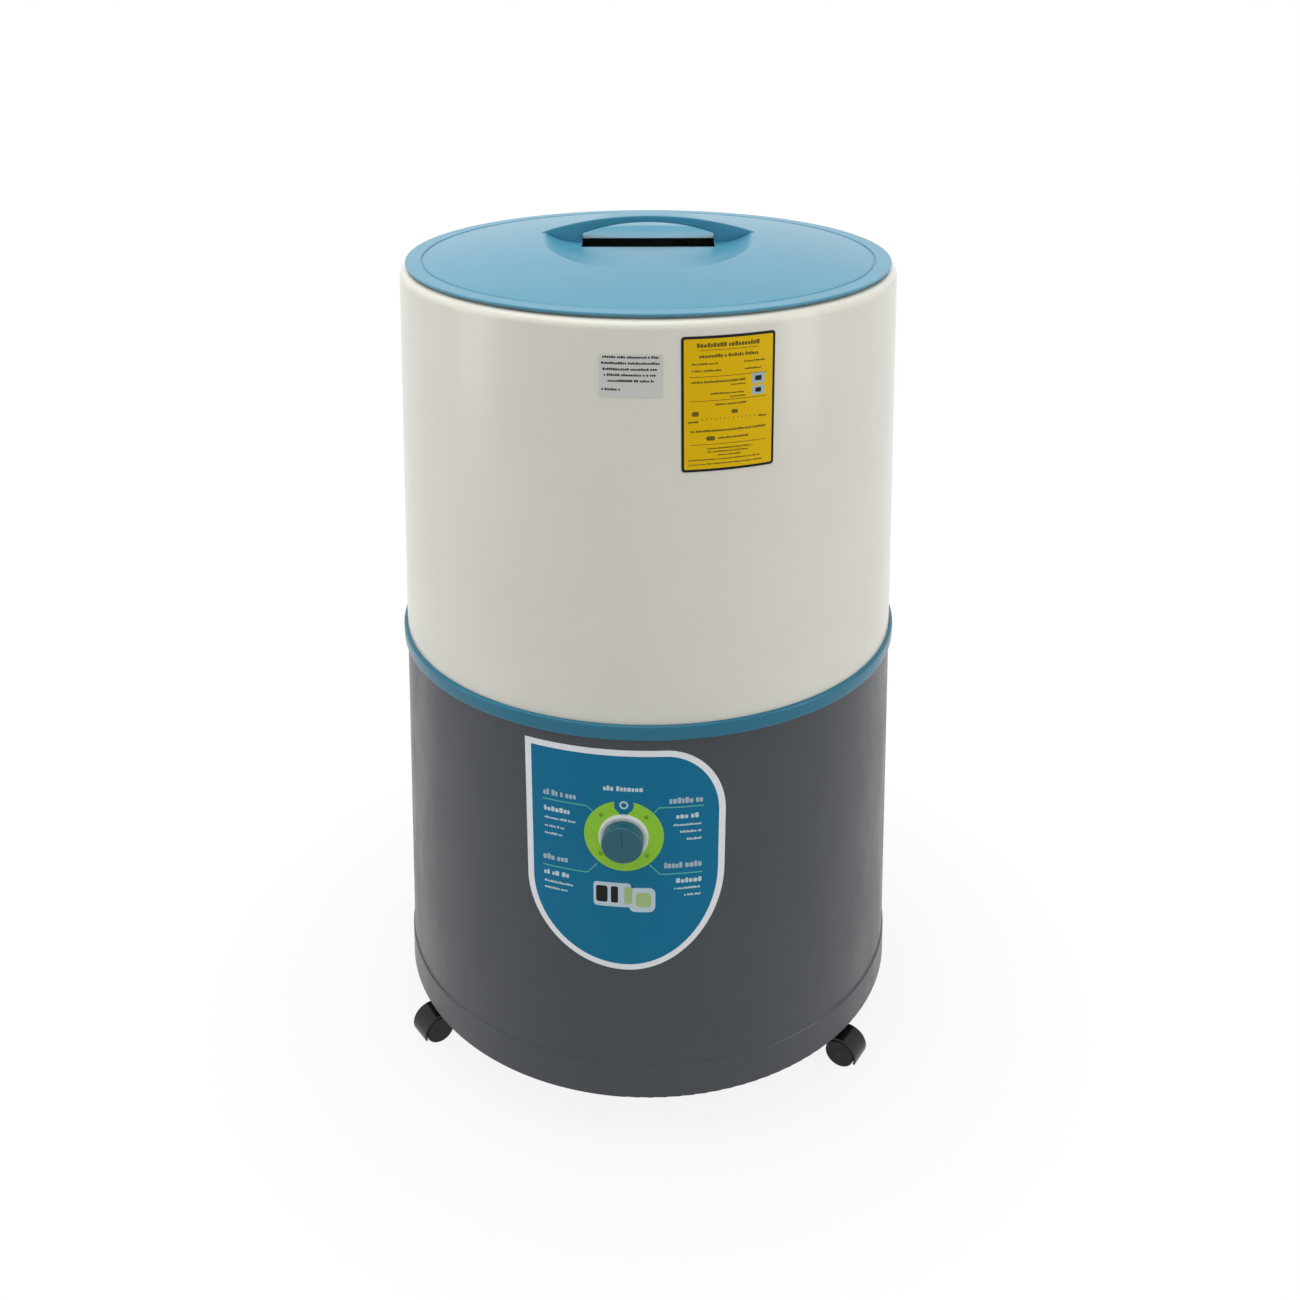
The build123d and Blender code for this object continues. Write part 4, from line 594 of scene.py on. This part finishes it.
def lid_shell(form):
    """The lid's dished skin with its edge, groove, locating ring and hand slot."""
    segments = settings("stage").ring_segments
    above, below = lid_rings(form)
    shape = bmesh.new()
    loops = []
    for rings, under in ((above, False), (below, True)):
        for radius, height in rings:
            loop = []
            for i in range(segments):
                angle = math.tau * i / segments
                u, v = radius * math.cos(angle), radius * math.sin(angle)
                z = form.side(u, v, under) if height is None else height
                loop.append(shape.verts.new((u, v, z)))
            loops.append(loop)
    for first, second in zip(loops, loops[1:]):
        join(shape, first, second)
    for loop, under in ((loops[0], False), (loops[-1], True)):
        centre = shape.verts.new((0.0, 0.0, form.side(0.0, 0.0, under)))
        for i in range(segments):
            shape.faces.new((loop[i], loop[(i + 1) % segments], centre))
    open_slot(shape, form)
    for vert in shape.verts:
        vert.co = form.place(*vert.co)
    return mesh_of("lid_shell", shape)


def open_slot(shape, form):
    """Opens the hand slot straight through the skin and walls its sides."""
    lid = form.set
    near = 6 * MM  # Only faces this close are cut
    right, front, back = lid.arch_half, lid.slot_front, -lid.slot_back

    def inside(face, margin):
        u, v, _ = face.calc_center_median()
        return abs(u) < right + margin and back - margin < v < front + margin

    for place, normal in (((right, 0, 0), (1, 0, 0)), ((-right, 0, 0), (1, 0, 0)),
                          ((0, front, 0), (0, 1, 0)), ((0, back, 0), (0, 1, 0))):
        faces = [face for face in shape.faces if inside(face, near)]
        edges = list({edge for face in faces for edge in face.edges})
        verts = list({vert for face in faces for vert in face.verts})
        bmesh.ops.bisect_plane(shape, geom=verts + edges + faces, dist=SNAP,
                               plane_co=place, plane_no=normal)
    bmesh.ops.delete(shape, geom=[face for face in shape.faces if inside(face, 0.0)],
                     context="FACES")
    rim = [edge for edge in shape.edges if edge.is_boundary]
    verts = {vert for edge in rim for vert in edge.verts}
    partner = {vert: min(verts - {vert}, key=lambda other: (other.co - vert.co).xy.length)
               for vert in verts}
    for edge in rim:
        a, b = edge.verts
        if a.co.z > partner[a].co.z and b.co.z > partner[b].co.z:
            shape.faces.new((a, b, partner[b], partner[a]))


def soft_corner(before, corner, after, reach, count=4):
    """Points round a corner, which start and end at a reach from it."""
    def toward(point):
        length = math.hypot(point[0] - corner[0], point[1] - corner[1])
        part = min(reach / length, 0.45)
        return tuple(c + (p - c) * part for c, p in zip(corner, point))

    start, end = toward(before), toward(after)
    return [tuple((1 - t) ** 2 * a + 2 * t * (1 - t) * c + t * t * b
                  for a, c, b in zip(start, corner, end))
            for t in (i / (count - 1) for i in range(count))]


def between(first, last, count):
    """Evenly spaced points between two points, without them."""
    return [tuple(a + (b - a) * i / (count + 1) for a, b in zip(first, last))
            for i in range(1, count + 1)]


def handle_section(form, u, foot):
    """The handle's outline at u, in v and height. A foot's underside lies in the skin."""
    lid = form.set
    share = abs(u) / lid.bridge_half
    front, crest = form.crest(u)
    back = -lid.bridge_back - lid.back_sweep * share ** 2
    dome = form.dome(u, back)
    back_height = dome + (crest - dome) * (1 - share ** 3)
    if foot:
        foot_front = form.foot_front(u)
        low_front = (foot_front, form.skin(u, foot_front) - SINK)
        low_back = (back, form.skin(u, back) - SINK)
        rounding = FOOT_ROUND
    else:
        arch = arc_height(u, lid.arch_half, LID_TOP - lid.bridge_thickness, lid.arch_rise)
        low_front = (front - (crest - arch) * math.tan(lid.bridge_lean), arch)
        low_back = (back, arch)
        rounding = lid.bridge_round
    high_front, high_back = (front, crest), (back, back_height)
    floor = between(low_back, low_front, 8)
    if foot:
        floor = [(v, form.skin(u, v) - SINK) for v, _ in floor]
    return (soft_corner(high_back, low_back, low_front, rounding) + floor
            + soft_corner(low_back, low_front, high_front, rounding)
            + soft_corner(low_front, high_front, high_back, lid.bridge_round, 6)
            + between(high_front, high_back, 4)
            + soft_corner(high_front, high_back, low_back, lid.bridge_round, 6))


def lid_bridge(form):
    """The arched handle, swept back at its ends, with its feet let into the skin."""
    lid = form.set
    spans = math.ceil(lid.arch_half / STATION_STEP)
    inner = [(lid.arch_half - SEAM) * i / spans for i in range(-spans, spans + 1)]
    tail = math.ceil((lid.bridge_half - lid.arch_half) / STATION_STEP)
    outer = [lid.arch_half + (lid.bridge_half - lid.arch_half) * i / tail
             for i in range(tail + 1)]
    stations = ([(-u, True) for u in reversed(outer)] + [(u, False) for u in inner]
                + [(u, True) for u in outer])
    shape = bmesh.new()
    loops = [[shape.verts.new(form.place(u, v, z)) for v, z in handle_section(form, u, foot)]
             for u, foot in stations]
    for first, second in zip(loops, loops[1:]):
        join(shape, first, second)
    shape.faces.new(loops[0])
    shape.faces.new(loops[-1])
    return mesh_of("lid_bridge", shape)


class WASHER_OT_lid(Operator):
    """Build the dished lid with its arched handle"""

    bl_idname = "washer.lid"
    bl_label = "Lid"

    def execute(self, context):
        form = LidForm()
        plastic = moulded_plastic("lid_plastic", form.set.colour, 0.30, grain=0.01 * MM,
                                  cloud=0.03, index=1.40, fine=320.0, smear=0.0)
        shell = add_piece("lid_skin", lid_shell(form), "lid", plastic)
        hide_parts("lid")
        add_piece("lid_handle", lid_bridge(form), "lid", plastic)
        return {"FINISHED"}


BAND_ROUND = 3.0 * MM
BAND_ROUND_STEPS = 8
BAND_POCKET = 6.0 * MM
BAND_WEB = 3.0 * MM
BAND_WEB_WIDTH = 11.0 * MM
SEAT_GAP = 0.3 * MM


def band_ring():
    """The trim band turned from its section, with the web that the screws clamp."""
    web_foot = BAND_BOTTOM + BAND_POCKET
    web_head = web_foot + BAND_WEB
    web_inside = wall_radius(web_head) - BAND_WEB_WIDTH
    section = [(wall_radius(height) + SEAT_GAP, height) for height in (web_head, BAND_TOP)]
    turns = [math.pi / 2 * i / BAND_ROUND_STEPS for i in range(BAND_ROUND_STEPS + 1)]
    for height, side in ((BAND_TOP, 1), (BAND_BOTTOM, -1)):
        corner = [(BAND_RADIUS - BAND_ROUND * (1 - math.sin(turn)),
                   height - side * BAND_ROUND * (1 - math.cos(turn))) for turn in turns]
        section += corner[::side]
    section += [(wall_radius(height) + SEAT_GAP, height) for height in (BAND_BOTTOM, web_foot)]
    section += [(web_inside, web_foot), (web_inside, web_head)]
    shape = bmesh.new()
    count = settings("stage").ring_segments
    loops = [[shape.verts.new((radius * math.cos(turn), radius * math.sin(turn), height))
              for radius, height in section]
             for turn in (math.tau * i / count for i in range(count))]
    for first, second in zip(loops, loops[1:] + loops[:1]):
        join(shape, first, second)
    return mesh_of("band_ring", shape)


class WASHER_OT_casing(Operator):
    """Build the band and finish the tub, the skirt and the pan"""

    bl_idname = "washer.casing"
    bl_label = "Casing"

    def execute(self, context):
        body = settings("body")
        dress(moulded_plastic("white_plastic", body.tub_colour, 0.22, cloud=0.02), "wash_tub")
        teal = moulded_plastic("teal_plastic", body.band_colour, 0.26, index=1.40)
        band = add_piece("band_ring", band_ring(), "cabinet", teal)
        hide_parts("trim_band")
        dress(teal, "agitator_cap")
        grey = moulded_plastic("grey_plastic", body.skirt_colour, 0.36, grain=0.08 * MM,
                               index=1.42)
        dress(grey, "base_skirt", "base_pan", "drain_outlet", "drain_fitting", "drain_nut")
        return {"FINISHED"}


def ellipse(centre, across, up, start, end, count=24):
    """Points on a stretch of an ellipse, angles in degrees from the right, turning left."""
    x, z = centre
    turns = [math.radians(start + (end - start) * i / count) for i in range(count + 1)]
    return [(x + across * math.cos(a), z + up * math.sin(a)) for a in turns]


LABEL_HALF = 110.5 * MM
LABEL_MARGIN = 7.2 * MM
# Middles of the ellipses that round three of the label's corners
SHOULDER = (45.0 * MM, LABEL_TOP - 79.0 * MM)
LOWER_RIGHT = (2.0 * MM, LABEL_TOP - 150.0 * MM)
LOWER_LEFT = (2.0 * MM, LABEL_TOP - 171.0 * MM)


def label_outline(inset):
    """Outline of the control label, drawn in by an inset."""
    half, top, bottom = LABEL_HALF - inset, LABEL_TOP - inset, LABEL_FOOT + inset
    outline = [(-half, top)]
    outline += ellipse(SHOULDER, half - SHOULDER[0], top - SHOULDER[1], 90.0, 0.0)
    outline += ellipse(LOWER_RIGHT, half - LOWER_RIGHT[0], LOWER_RIGHT[1] - bottom, 0.0, -90.0)
    outline += ellipse(LOWER_LEFT, half + LOWER_LEFT[0], LOWER_LEFT[1] - bottom,
                       -90.0, -180.0)[1:]
    return outline


# Blocks of print: shares of the pitch, and of the row's height for their rises
WORD_WIDTHS = (0.55, 0.95)
WORD_GAP = 0.16
WORD_RISES = (0.72, 0.8, 1.0)
SPACE = 0.5
SPACE_CHANCE = 0.12
WORD_CORNER = 0.3


def word_blocks(rng, left, right, height, tall, pitch):
    """A row of small blocks that stands where the photographed label has a line of print."""
    blocks = []
    x = left
    while x < right - pitch * SPACE:
        width = min(pitch * rng.uniform(*WORD_WIDTHS), right - x)
        rise = tall * rng.choice(WORD_RISES)
        blocks.append(rounded_bar(x + width / 2, height - (tall - rise) / 2, width, rise,
                                  min(width, rise) * WORD_CORNER, 2))
        x += width + pitch * WORD_GAP
        if rng.random() < SPACE_CHANCE:
            x += pitch * SPACE
    return blocks


class Sheet:
    """A sheet on the wall, with print given in millimetres. Heights are over the floor, or
    depths below its top and from its left edge where these two are given."""

    def __init__(self, name, slot, azimuth=0.0, left=0.0, top=None):
        self.name, self.slot, self.azimuth, self.left, self.top = name, slot, azimuth, left, top

    def place(self, x, z):
        """A place in metres."""
        return self.left + x * MM, z * MM if self.top is None else self.top - z * MM

    def bars(self, rows, count=5):
        """Outlines of rounded bars: middle, width, height and corner."""
        return [rounded_bar(*self.place(x, z), width * MM, height * MM, corner * MM, count)
                for x, z, width, height, corner in rows]

    def words(self, rng, rows, pitch):
        """Blocks for rows of print: left end, right end, height and size. The pitch is a
        share of the size."""
        blocks = []
        for left, right, z, tall in rows:
            start, height = self.place(left, z)
            blocks += word_blocks(rng, start, self.place(right, z)[0], height, tall * MM,
                                  tall * pitch * MM)
        return blocks

    def ink(self, name, outlines, layer, material):
        """Prints outlines as one piece."""
        print_on_wall(self.name + name, outlines, layer, material, self.azimuth)


OFF_PLACE = (0.3 * MM, KNOB_HEIGHT + 39.0 * MM)
OFF_RING = (3.0 * MM, 5.0 * MM)
NOTCH_RADIUS = 10.8 * MM
GREEN_RING = (26.0 * MM, 44.0 * MM)
GREEN_STRETCH = (10.0, 350.0)
MARK_ANGLES = (-133.0, -45.0, 45.0, 133.0)
MARK_REACH = 35.0 * MM
MARK_RADIUS = 2.6 * MM
CALLOUT_WIDTH = 1.3 * MM
HEAD_PITCH = 0.62
LINE_PITCH = 0.78
STICKER_PITCH = 0.8
PALE_PITCH = 0.92
LABEL_HEADS = (
    (-90.0, -49.5, 454.0, 7.4), (-91.5, -61.6, 372.0, 7.4), (49.5, 87.5, 455.0, 7.4),
    (44.7, 86.5, 373.8, 7.4),
)
LABEL_LINES = (
    (-22.3, 23.6, 469.5, 6.2), (-89.5, -60.0, 433.5, 6.2), (-91.0, -62.0, 351.8, 6.2),
    (57.0, 86.4, 435.4, 6.2), (57.6, 86.6, 353.6, 6.2),
    (-89.0, -52.5, 422.0, 2.9), (-89.0, -65.0, 411.6, 2.9), (-89.0, -68.0, 402.2, 2.9),
    (-90.5, -57.5, 340.2, 2.9), (-90.5, -64.0, 331.9, 2.9),
    (54.2, 85.5, 424.6, 2.9), (61.4, 85.2, 415.8, 2.9), (68.7, 85.0, 406.2, 2.9),
    (55.8, 85.2, 343.8, 2.9), (66.8, 84.6, 334.8, 2.9),
)
CALLOUTS = (
    ((-91.0, 445.0), (-41.0, 445.0), (-32.0, 437.0)),
    ((-92.0, 360.6), (-41.0, 360.6), (-29.5, 373.4)),
    ((87.0, 446.8), (38.6, 446.8), (31.0, 438.6)),
    ((86.6, 362.8), (40.2, 362.8), (28.4, 375.4)),
)
# Badge: piece, layer, ink and bars
BADGE = (
    ("badge", 1, "pale", ((-13.0, 335.0, 42.0, 31.0, 4.0),)),
    ("badge_end", 2, "pale", ((20.5, 329.5, 29.0, 31.5, 7.0),)),
    ("badge_dark", 2, "dark", ((-24.6, 335.3, 13.0, 21.0, 3.0),
                               (-10.4, 335.3, 8.0, 21.0, 2.0))),
    ("badge_leaf", 3, "leaf", ((5.0, 335.0, 9.0, 22.0, 2.5), (22.0, 329.5, 17.0, 19.0, 5.0))),
)


class WASHER_OT_control_label(Operator):
    """Print the control label and its ring of marks"""

    bl_idname = "washer.control_label"
    bl_label = "Control label"

    def execute(self, context):
        inks = settings("inks")
        rng = random.Random(7)
        film = {name: printed_film("label_" + name, getattr(inks, name))
                for name in ("white", "blue", "green", "mint", "pale", "grey", "dark", "leaf")}
        dress(film["white"], "control_label")
        sheet = Sheet("label_", "label_film")
        ink = sheet.ink
        ink("ground", [label_outline(LABEL_MARGIN)], 0, film["blue"])
        ink("ring", ring_stretch((0.0, KNOB_HEIGHT), *GREEN_RING, *GREEN_STRETCH, 96), 1,
            film["green"])
        ink("notch", [disc(OFF_PLACE, NOTCH_RADIUS)], 2, film["blue"])
        ink("off_ring", ring_stretch(OFF_PLACE, *OFF_RING, 0.0, 360.0, 40), 3, film["pale"])
        marks = [disc((MARK_REACH * math.sin(turn), KNOB_HEIGHT + MARK_REACH * math.cos(turn)),
                      MARK_RADIUS, 24) for turn in map(math.radians, MARK_ANGLES)]
        ink("marks", marks, 2, printed_film("label_mark", shade(inks.green, 0.6)))
        ink("callouts", [ribbon([(x * MM, z * MM) for x, z in line], CALLOUT_WIDTH)
                         for line in CALLOUTS], 2, film["mint"])
        ink("heads", sheet.words(rng, LABEL_HEADS, HEAD_PITCH), 1, film["grey"])
        ink("lines", sheet.words(rng, LABEL_LINES, LINE_PITCH), 1, film["pale"])
        for name, layer, tone, rows in BADGE:
            ink(name, sheet.bars(rows), layer, film[tone])
        return {"FINISHED"}


STICKER_TURN = math.radians(21.5)
STICKER_HALF = 49.0 * MM
STICKER_BORDER = 2.7 * MM
STICKER_ROUND = 1.5 * MM
PALE_TURN = math.radians(1.6)
STICKER_ROWS = (
    (15.5, 82.0, 9.2, 4.6), (17.9, 80.7, 20.2, 3.6), (10.5, 36.4, 27.8, 2.2),
    (64.5, 87.0, 28.0, 2.2), (10.7, 40.5, 34.8, 2.2), (64.8, 82.3, 35.6, 1.9),
    (10.0, 66.0, 46.2, 2.4), (50.5, 66.0, 50.4, 1.6), (29.3, 66.2, 58.6, 2.0),
    (49.4, 66.2, 62.6, 1.6), (34.3, 66.7, 69.8, 2.0), (6.4, 17.0, 86.8, 2.4),
    (80.6, 89.0, 85.6, 2.4), (9.0, 88.0, 96.6, 2.4), (37.0, 71.0, 104.6, 2.2),
    (25.5, 74.0, 115.2, 1.7), (26.0, 70.0, 118.6, 1.7), (36.7, 61.3, 122.4, 1.5),
    (7.0, 82.5, 126.6, 1.5), (25.6, 84.6, 131.2, 1.5), (7.0, 24.0, 131.4, 1.5),
)
# Thin rules from left end, right end and depth, and the ticks of a scale
RULES = [((left + right) / 2, depth, right - left, 0.55, 0.2) for left, right, depth in
         ((18.0, 79.0, 14.2), (8.0, 89.0, 41.0), (8.0, 89.0, 65.6), (8.5, 89.0, 110.8))]
TICKS = [(21.0 + 4.6 * i, 84.6, 0.7, 1.9, 0.2) for i in range(13)]
STICKER_BARS = (
    (14.0, 78.6, 7.0, 5.0, 2.0), (54.5, 78.2, 7.0, 4.0, 1.8), (29.5, 104.6, 9.0, 4.6, 2.0),
)
BOXES = ((79.6, 46.5, 13.4, 10.8, 0.8), (79.6, 58.7, 13.4, 9.0, 0.8))
BOX_MARKS = ((79.6, 46.5, 7.0, 5.0, 1.0), (79.6, 58.7, 6.4, 4.6, 1.0))
PALE_ROWS = (
    (-28.0, 27.6, 949.2, 2.5), (-29.0, 28.4, 943.1, 2.5), (-27.8, 27.0, 937.0, 2.5),
    (-26.6, 25.8, 931.2, 2.5), (-22.8, 23.2, 925.3, 2.5), (-29.0, -9.0, 916.6, 2.5),
)


class WASHER_OT_stickers(Operator):
    """Print the two stickers below the rim"""

    bl_idname = "washer.stickers"
    bl_label = "Stickers"

    def execute(self, context):
        inks = settings("inks")
        rng = random.Random(11)
        dark = printed_film("sticker_dark", inks.dark)
        dress(dark, "yellow_sticker")
        dress(printed_film("clear_film", inks.clear), "clear_sticker")
        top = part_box("yellow_sticker")[1].z
        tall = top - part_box("yellow_sticker")[0].z
        sheet = Sheet("sticker_", "yellow_film", STICKER_TURN, -STICKER_HALF, top)
        ground = rounded_bar(0.0, top - tall / 2, 2 * (STICKER_HALF - STICKER_BORDER),
                             tall - 2 * STICKER_BORDER, STICKER_ROUND)
        sheet.ink("ground", [ground], 0, printed_film("sticker_yellow", inks.yellow))
        rows = sheet.words(rng, STICKER_ROWS, STICKER_PITCH)
        rows += sheet.bars(RULES + TICKS, 1) + sheet.bars(STICKER_BARS)
        sheet.ink("rows", rows, 1, printed_film("sticker_brown", inks.brown))
        sheet.ink("boxes", sheet.bars(BOXES), 1, printed_film("sticker_grey", inks.grey))
        sheet.ink("box_marks", sheet.bars(BOX_MARKS), 2, dark)
        pale = Sheet("pale_sticker_", "clear_film", PALE_TURN)
        pale.ink("rows", pale.words(rng, PALE_ROWS, PALE_PITCH), 0, dark)
        return {"FINISHED"}


class WASHER_OT_knob(Operator):
    """Finish the program knob and its bezel"""

    bl_idname = "washer.knob"
    bl_label = "Knob"

    def execute(self, context):
        dress(moulded_plastic("knob_plastic", (0.016, 0.115, 0.155), 0.24, index=1.38), "knob")
        dress(moulded_plastic("bezel_plastic", (0.74, 0.74, 0.72), 0.28), "knob_bezel",
              "timer_shaft", "timer_body", "capacitor")
        return {"FINISHED"}


class WASHER_OT_casters(Operator):
    """Finish the casters"""

    bl_idname = "washer.casters"
    bl_label = "Casters"

    def execute(self, context):
        body = settings("body")
        hood = moulded_plastic("caster_plastic", body.caster_colour, 0.30, index=1.38)
        wheel = moulded_plastic("wheel_nylon", body.caster_colour, 0.42, grain=0.1 * MM,
                                index=1.35)
        steel = turned_metal("zinc_steel", (0.55, 0.54, 0.50), 0.34)
        black_steel = turned_metal("black_steel", (0.04, 0.04, 0.042), 0.4)
        for corner in ("front_left", "front_right", "rear_left", "rear_right"):
            for finish, part in ((hood, "hood"), (wheel, "wheels"), (steel, "stem"),
                                 (black_steel, "axle")):
                dress(finish, corner + "_caster_" + part)
        dress(steel, "band_screws", "pan_screws", "frame_bolts", "motor_bolts", "pulley_nut",
              "drain_strainer", "hose_clamps", "timer_bracket", "timer_screws",
              "bracket_screws", "capacitor_clip")
        return {"FINISHED"}


class WASHER_OT_drive(Operator):
    """Finish the agitator and everything below the tub"""

    bl_idname = "washer.drive"
    bl_label = "Drive"

    def execute(self, context):
        dress(moulded_plastic("agitator_plastic", settings("lid").colour, 0.3), "agitator")
        dress(turned_metal("steel", (0.56, 0.56, 0.57), 0.25), "drive_shaft", "motor_shaft",
              "upper_bearing", "lower_bearing")
        dress(turned_metal("cast_aluminium", (0.62, 0.62, 0.63), 0.42, (1.0, 1.0, 1.0)),
              "bearing_housing", "driven_pulley", "motor_pulley")
        dress(moulded_plastic("painted_steel", (0.03, 0.03, 0.032), 0.4), "drive_frame",
              "motor_body")
        dress(soft_rubber("rubber", (0.012, 0.012, 0.012)), "shaft_seal", "motor_mounts",
              "drive_belt", "wiring_leads", "cord_gland")
        dress(soft_rubber("hose_rubber", (0.10, 0.105, 0.11), 0.5), "drain_hose")
        return {"FINISHED"}


LAMP_AIM = Vector((0.0, 0.0, 0.55))
# Lamps: name, place, width, height and power
LAMPS = (
    ("top_box", (-0.3, -0.2, 3.0), 2.4, 2.4, 43.0),
    ("left_box", (-2.6, -0.8, 1.3), 1.0, 2.4, 13.0),
    ("right_box", (2.6, -0.8, 1.3), 1.0, 2.4, 18.0),
)
FLOOR_HALF = 12.0
SHADOW_SHARE = 0.88  # How white the floor is below the casing
FADE_REACH = (0.30, 0.62)  # Where it turns plain white, from the axis


def add_lamp(name, place, width, height, power):
    """A soft rectangular lamp that looks at the casing."""
    data = bpy.data.lights.new(name, "AREA")
    data.shape = "RECTANGLE"
    data.size = width
    data.size_y = height
    data.energy = power * settings("stage").lamp_level
    lamp = new_object(name, data)
    lamp.location = place
    lamp.rotation_euler = (LAMP_AIM - Vector(place)).to_track_quat("-Z", "Y").to_euler()


def seen_or_mirrored(tree):
    """1 for what the camera sees or a gloss mirrors, else 0."""
    path = tree.nodes.new("ShaderNodeLightPath")
    either = tree.nodes.new("ShaderNodeMath")
    either.operation = "MAXIMUM"
    tree.links.new(path.outputs["Is Camera Ray"], either.inputs[0])
    tree.links.new(path.outputs["Is Glossy Ray"], either.inputs[1])
    return either.outputs[0]


def pale_floor():
    """A wide pale floor that shows white to the camera and keeps the shadow."""
    finish = Finish("floor")
    finish.tint(finish.noise(scale=6.0, detail=3.0), (0.70, 0.70, 0.70), (0.72, 0.72, 0.72))
    finish.fix(Roughness=0.7)
    glow = finish.add("ShaderNodeEmission")
    reach = finish.add("ShaderNodeVectorMath", operation="LENGTH")
    finish.link(finish.place, reach.inputs[0])
    fade = finish.spread(reach.outputs["Value"], SHADOW_SHARE, 1.0, *FADE_REACH)
    share = finish.add("ShaderNodeMath", operation="MULTIPLY")
    finish.link(seen_or_mirrored(finish.tree), share.inputs[0])
    finish.link(fade, share.inputs[1])
    mix = finish.add("ShaderNodeMixShader")
    finish.link(share.outputs[0], mix.inputs["Fac"])
    finish.link(finish.shader.outputs["BSDF"], mix.inputs[1])
    finish.link(glow.outputs["Emission"], mix.inputs[2])
    finish.link(mix.outputs["Shader"], finish.surface)
    form = bmesh.new()
    bmesh.ops.create_grid(form, x_segments=4, y_segments=4, size=FLOOR_HALF)
    floor = new_object("floor", mesh_of("floor", form))
    floor.data.materials.append(finish.material)


def studio_world():
    """White behind the object, a softer grey for what lights it."""
    world = bpy.data.worlds.new("studio")
    bpy.context.scene.world = world
    world.use_nodes = True
    tree = world.node_tree
    tree.nodes.clear()
    mix = tree.nodes.new("ShaderNodeMixShader")
    tree.links.new(seen_or_mirrored(tree), mix.inputs["Fac"])
    for slot, tone, strength in ((1, (0.96, 0.98, 1.0, 1.0), 0.42),
                                 (2, (1.0, 1.0, 1.0, 1.0), 1.0)):
        ground = tree.nodes.new("ShaderNodeBackground")
        ground.inputs["Color"].default_value = tone
        ground.inputs["Strength"].default_value = strength
        tree.links.new(ground.outputs["Background"], mix.inputs[slot])
    output = tree.nodes.new("ShaderNodeOutputWorld")
    tree.links.new(mix.outputs["Shader"], output.inputs["Surface"])


class WASHER_OT_stage(Operator):
    """Set the camera, the lamps and the floor"""

    bl_idname = "washer.stage"
    bl_label = "Stage"

    def execute(self, context):
        stage = settings("stage")
        data = bpy.data.cameras.new("camera")
        data.lens = stage.camera_lens
        data.sensor_width = 36.0
        data.shift_x = stage.shift_x
        data.shift_y = stage.shift_y
        camera = new_object("camera", data)
        azimuth = stage.camera_azimuth
        camera.location = (stage.camera_distance * math.sin(azimuth),
                           -stage.camera_distance * math.cos(azimuth), stage.camera_height)
        camera.rotation_euler = (math.pi / 2 - stage.camera_pitch, 0.0, azimuth)
        context.scene.camera = camera
        studio_world()
        pale_floor()
        for lamp in LAMPS:
            add_lamp(*lamp)
        context.scene.view_settings.view_transform = "Standard"
        return {"FINISHED"}


class WASHER_PT_pieces(Panel):
    """Lists the washer's makers and settings"""

    bl_idname = "WASHER_PT_pieces"
    bl_label = "Washer"
    bl_space_type = "VIEW_3D"
    bl_region_type = "UI"
    bl_category = "Washer"

    def draw(self, context):
        for maker in MAKERS:
            self.layout.operator(maker.bl_idname)
        for group, kind in GROUPS.items():
            box = self.layout.box()
            box.label(text=kind.__doc__)
            for name in kind.__annotations__:
                box.prop(settings(group), name)


GROUPS = {
    "body": BodySettings,
    "lid": LidSettings,
    "inks": PrintSettings,
    "stage": StageSettings,
}
MAKERS = (
    WASHER_OT_stage,
    WASHER_OT_casing,
    WASHER_OT_lid,
    WASHER_OT_control_label,
    WASHER_OT_stickers,
    WASHER_OT_knob,
    WASHER_OT_casters,
    WASHER_OT_drive,
)


def register():
    """Registers the settings, the makers and the panel."""
    for group, kind in GROUPS.items():
        bpy.utils.register_class(kind)
        setattr(bpy.types.Scene, "washer_" + group, PointerProperty(type=kind))
    for maker in MAKERS:
        bpy.utils.register_class(maker)
    bpy.utils.register_class(WASHER_PT_pieces)


def unregister():
    """Takes the add-on out again."""
    bpy.utils.unregister_class(WASHER_PT_pieces)
    for maker in reversed(MAKERS):
        bpy.utils.unregister_class(maker)
    for group, kind in GROUPS.items():
        delattr(bpy.types.Scene, "washer_" + group)
        bpy.utils.unregister_class(kind)


def main():
    """Builds every piece in order."""
    register()
    for maker in MAKERS:
        getattr(bpy.ops.washer, maker.bl_idname.split(".")[1])()


if __name__ == "__main__":
    main()
